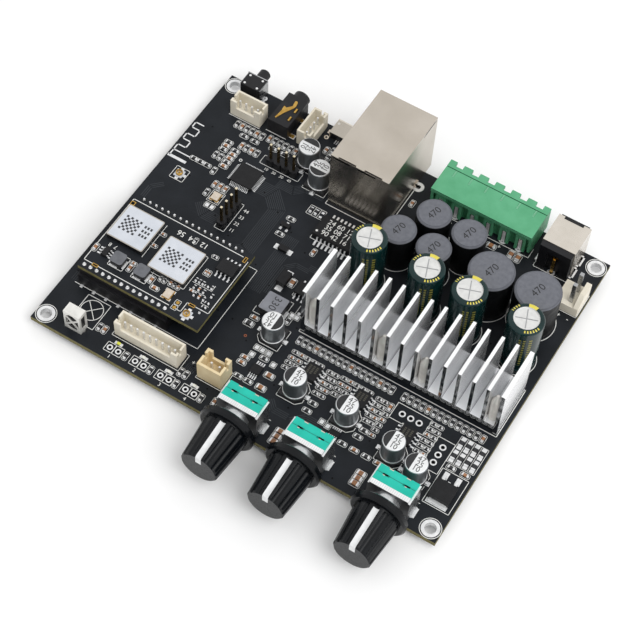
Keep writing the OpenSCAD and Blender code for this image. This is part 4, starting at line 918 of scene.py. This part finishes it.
labels = Piece("label_white", "ink_dark")
LABEL_FACE = SHIELD_TOP + 0.06
for x, y in ((-51, -16.1), (-35.8, -18.8)):
    labels.block(x, y, SHIELD_TOP, 11.0, 11.0, 0.06, soft=0.015)
    for row in range(7):
        for col in range(row % 2, 7, 2):
            labels.block(x - 3.9 + col * 0.72, y - 2.2 + row * 0.72, LABEL_FACE, 0.7, 0.7, 0.01, "ink_dark")
    for row in range(3):
        for col in range(3):
            labels.block(x + 2.2 + col * 0.95, y - 1.4 + row * 1.5, LABEL_FACE, 0.6, 0.85, 0.01, "ink_dark")

marks = Piece("ink_black", "ink_dark", "tin", "chip_ink", "silk")
for x, y, turn in CANS:
    # Black half-moon on the end, away from the bevelled corners, and plain numbers beside it
    spot = placed(x, y, CAN_TOP, turn)
    moon = bmesh.new()
    bmesh.ops.create_circle(moon, cap_ends=True, segments=48, radius=2.8)
    bmesh.ops.bisect_plane(moon, geom=moon.verts[:] + moon.edges[:] + moon.faces[:], plane_co=(-0.85, 0, 0),
                           plane_no=(1, 0, 0), clear_outer=True)
    raised = bmesh.ops.extrude_face_region(moon, geom=moon.faces[:])
    bmesh.ops.translate(moon, vec=(0, 0, COATING),
                        verts=[v for v in raised["geom"] if isinstance(v, bmesh.types.BMVert)])
    bmesh.ops.transform(moon, matrix=spot, verts=moon.verts)
    held = bpy.data.meshes.new("moon")
    moon.to_mesh(held)
    moon.free()
    marks.add(held)
    for words, row in (("47", 1.55), ("25", 0.0), ("10", -1.55)):
        at = spot @ Vector((0.85 - abs(row) * 0.12, row, 0))
        marks.number(words, at[0], at[1], CAN_TOP, 2.15, turn, 0.015)
    marks.ring(x, y, 2.7, 3.0, 3.3, 0.3, "tin", steps=48, corner=0.12)
for places, top, size in ((SMALL_COILS, SMALL_COIL_TOP, 2.9), (LARGE_COILS, LARGE_COIL_TOP, 3.0)):
    for x, y in places:
        marks.number("470", x, y, top, size, 75)
for x, y in SIGNAL_CHIPS:
    for row in range(3):
        for col in range(6 - row):
            marks.block(x - 1.0 + row, y + 1.5 - col * 0.55, TOP + 1.5, 0.6, 0.36, 0.01, "chip_ink")
# Network transformer and the converter's coil
for words, y in (("24 60 12", 18.9), ("35 08 71", 16.9), ("90 42 16", 14.9)):
    marks.number(words, -6.4, y, TOP + 2.0, 2.3, 0, 0.01, "silk")
marks.rod(-11.7, 14.6, TOP + 2.0, 0.35, 0.01, "silk")
marks.number("330", -8.4, -12.7, TOP + 3.0, 3.1, -90, COATING, "ink_dark")

# ---- Details of the controls, jacks and screws ----

# Controls: the joint across each wafer housing, dark patches of painted shade in its slots, and the tabs of
# its frame
details = Piece("slot_green", "via_mask", "tin", "warm_tin", "screw_steel")
for x in CONTROLS:
    details.block(x, -45.2, WAFER_TOP, 11.0, 0.14, 0.015)
    for side in BOTH:
        details.block(x + side * 3.15 + 0.1, -45.2, WAFER_TOP, 1.5, 0.45, 0.015, "via_mask")
        details.block(x + side * 3.15 - 0.25, -45.5, WAFER_TOP, 0.6, 0.26, 0.015, "warm_tin")
        details.block(x + side * 2.45, -43.05, 12.3, 1.2, 0.26, 0.03, "warm_tin")
# Push button: four riveted posts in its top
for sx, sy in CORNERS:
    details.rod(-52.9 + sx * 2.1, 46.75 + sy * 1.6, 8.1, 0.36, 0.05, "tin", sides=14)
# Network jack: thin dark strips as painted shade along the folds at the top edges of its shield, and its pads
for x, w in ((-11.6, 5.2), (-3.6, 5.4)):
    details.block(x, 25.98, 22.3, w, 0.03, 0.55, "via_mask")
details.block(3.31, 49.0, 22.5, 0.03, 5.4, 0.4, "via_mask")
for x in (4.2, -15.9):
    pads.ring(x, 44.3, TOP, 0.7, 1.7, 0.12, steps=32, corner=0.06)
# Power jack: slotted pads of its four lugs
for x in (44.7, 54.4):
    for y in (42.0, 46.6):
        for z in (TOP, -COATING):
            pads.frame_round(x, y, 0.85, 1.85, z, 0.5)
# Data socket: its contact feet, the dimple in its shell, its lugs and a plated ring
for i in range(5):
    pads.block(-24.0 + i * 0.65, 45.2, TOP, 0.3, 1.4, 0.12)
details.rod(-25.6, 49.8, 4.2, 0.4, 0.015, "screw_steel")
for x in (-27.3, -18.1):
    details.block(x, 47.6, TOP, 0.9, 1.4, 0.1, "warm_tin", soft=0.04)
details.ring(-27.1, 45.4, TOP, 0.35, 0.72, 0.04, "warm_tin", steps=24)
# Audio jack: solder on its feet
for x, y in ((-35.4, 40.2), (-35.4, 46.6), (-43.6, 43.6)):
    pads.block(x, y, TOP, 1.7, 1.6, 0.1, soft=0.04)
# Threads of the heatsink screws
for x in (3.63, 24.65, 37.26, 58.27):
    for i in range(13):
        details.ring(x, -11.95, 6.0 + i * 0.6, 1.3, 1.58, 0.28, "screw_steel", steps=20, corner=0.12)

# ---- Traces and small holes under the coating ----

traces = Piece("trace_mask", "via_mask")
TRACE_WIDE, TRACE_HIGH = 0.24, 0.015
VIA_R, VIA_HIGH = 0.26, 0.018
# Shares of the board from one small hole to the next, which spread them evenly
VIA_STEPS = (0.6180339, 0.7548777)


def bundle(points, count, pitch):
    """Parallel traces beside a path, kept at one pitch through its bends."""
    path = [Vector(p) for p in points]
    ways = [(after - before).normalized().orthogonal() for before, after in zip(path, path[1:])]
    for i in range(count):
        shifted = []
        for point, into, out in zip(path, ways[:1] + ways, ways + ways[-1:]):
            side = (into + out) / 2
            shifted.append((point + side * (i * pitch / side.length_squared))[:])
        traces.stroke(shifted, TOP, TRACE_WIDE, TRACE_HIGH)


for points, count, pitch in [
        ([(-12.9, -9.4), (-12.9, 0.2), (-10.9, 2.2), (-7.0, 2.2)], 3, 0.55),
        ([(-14.7, -10.5), (-14.7, 10.0)], 8, 0.55),
        ([(-7.5, 3.2), (-5.2, 3.2), (-3.0, 1.0), (-1.2, 1.0)], 4, 0.55),
        ([(-15.6, -34.2), (-15.6, -36.4), (-18.6, -39.4), (-18.6, -41.6)], 6, 0.5),
        ([(-46.0, 5.4), (-42.6, 2.0), (-38.0, 2.0)], 7, 0.55),
        ([(-57.6, 6.4), (-60.4, 3.6), (-60.4, -34.0)], 3, 0.6),
        ([(14.2, -40.6), (16.8, -38.0), (20.0, -38.0)], 5, 0.55),
        ([(-30.2, 22.6), (-24.6, 22.6), (-22.0, 25.2), (-16.4, 25.2)], 6, 0.5),
        ([(-33.6, 17.8), (-30.6, 17.8), (-27.6, 14.8), (-27.6, 0.4), (-29.8, -1.8), (-29.8, -5.0)], 9, 0.55),
        ([(5.0, -37.6), (7.4, -40.0), (12.0, -40.0)], 4, 0.55)]:
    bundle(points, count, pitch)
for i in range(110):
    a, b = ((i * step) % 1.0 for step in VIA_STEPS)
    traces.rod(-61 + 122 * a, -49 + 98 * b, TOP, VIA_R, VIA_HIGH, "via_mask", sides=10)
    traces.rod(-61 + 122 * b, -49 + 98 * a, -VIA_HIGH, VIA_R, VIA_HIGH, "via_mask", sides=10)

# ---- Solder around every lead that passes through the board ----

# Sheet metal lugs, which have solder below alone
LUGS = ["dc_jack_shield", "network_jack_shield", "ir_receiver_cage"]
THROUGH = [
    "terminal_pins", "network_jack_contacts", "power_header_pins", "connector_pins", "pin_header_pins",
    *numbered("pot_frame", 3), "switch_body", "switch_frame", "dc_jack_shield", "dc_jack_contacts",
    "network_jack_shield", "ir_receiver", "ir_receiver_cage", *numbered("filter_inductor", 4),
    *numbered("bass_inductor", 2), *numbered("bulk_capacitor", 4)]
LEAD_END = -1.5
LEAD_SPACE = 1.2


def lead_tips(node):
    """Middle and reach of each lead tip of a node under the board."""
    tips = []
    for vertex in nodes[node].data.vertices:
        x, y, z = (c * 1000 for c in vertex.co)
        if z > LEAD_END:
            continue
        for tip in tips:
            if abs(tip[0] - x) < LEAD_SPACE and abs(tip[2] - y) < LEAD_SPACE:
                tip[0], tip[1] = min(tip[0], x), max(tip[1], x)
                tip[2], tip[3] = min(tip[2], y), max(tip[3], y)
                break
        else:
            tips.append([x, x, y, y])
    return [((a + b) / 2, (c + d) / 2, max(b - a, d - c) / 2) for a, b, c, d in tips]


solder = Piece("tin")
for node in THROUGH:
    for x, y, reach in lead_tips(node):
        solder.rod(x, y, -PAD, reach + 0.75, PAD)
        solder.rod(x, y, -1.2, reach + 0.12, 1.15, r_top=reach + 0.6)
        if node not in LUGS:
            solder.ring(x, y, TOP, reach + 0.2, reach + 0.75, THIN_PAD, steps=20)

# ---- Finishing the pieces ----

chip_parts = parts.done("chip_parts")
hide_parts("chip_components")
silk.done("board_print")
pads.done("board_pads")
lamps.done("small_lamps")
leads.done("chip_leads")
small_packages.done("small_packages")
crystals.done("crystals_and_aerial_sockets")
labels.done("shield_labels")
marks.done("can_and_coil_marks")
traces.done("board_traces")
details.done("control_and_jack_details")
solder.done("solder_joints")

# ---- Floor, light and camera: lengths in metres ----

# Just under the trimmed leads
FLOOR_Z, FLOOR_HALF = -0.00205, 3.0
floor_data = bpy.data.meshes.new("floor")
floor_data.from_pydata([(sx * FLOOR_HALF, sy * FLOOR_HALF, FLOOR_Z) for sx, sy in CORNERS], [],
                       [(0, 1, 3, 2)])
floor = put("floor", floor_data)
paper = bpy.data.materials.new("white_paper")
paper.use_nodes = True
for label, value in (("Base Color", (0.96, 0.96, 0.96, 1)), ("Roughness", 0.9), ("Specular IOR Level", 0.1)):
    paper.node_tree.nodes["Principled BSDF"].inputs[label].default_value = value
floor_data.materials.append(paper)

# White surroundings, a little weaker where they only light the object
world = bpy.data.worlds.new("studio")
scene.world = world
world.use_nodes = True
sky = world.node_tree
background = sky.nodes["Background"].inputs
background["Color"].default_value = (1, 1, 1, 1)
rays = add_node(sky, "LightPath").outputs
level = add_node(sky, "MapRange", To_Min=0.8, To_Max=1.0)
seen = rays["Is Camera Ray"]
for kind in ("Is Glossy Ray", "Is Transmission Ray"):
    either = add_node(sky, "Math", ("operation", "MAXIMUM"))
    sky.links.new(seen, either.inputs[0])
    sky.links.new(rays[kind], either.inputs[1])
    seen = either.outputs[0]
sky.links.new(seen, level.inputs["Value"])
sky.links.new(level.outputs["Result"], background["Strength"])

lamp_at = Vector((0.5, -0.12, 0.72))
lamp_data = bpy.data.lights.new("key_softbox", "AREA")
lamp_data.size, lamp_data.energy = 0.6, 3.8
lamp = put("key_softbox", lamp_data)
lamp.location = lamp_at
lamp.rotation_euler = (-lamp_at).to_track_quat("-Z", "Y").to_euler()

# The camera as it was fitted to the photograph
right = (0.85417, 0.51855, 0.03877)
up = (-0.45735433, 0.7136995, 0.53052807)
back = (0.2474323, -0.47089343, 0.84678016)
eye = (0.1220558, -0.2341485, 0.40654)
camera_data = bpy.data.cameras.new("photo_camera")
camera_data.sensor_fit = "HORIZONTAL"
camera_data.angle = math.radians(20.5238)
camera_data.clip_start = 0.01
camera = put("photo_camera", camera_data)
camera.matrix_world = Matrix([*zip(right, up, back, eye), (0, 0, 0, 1)])
scene.camera = camera
scene.view_settings.view_transform = "Standard"
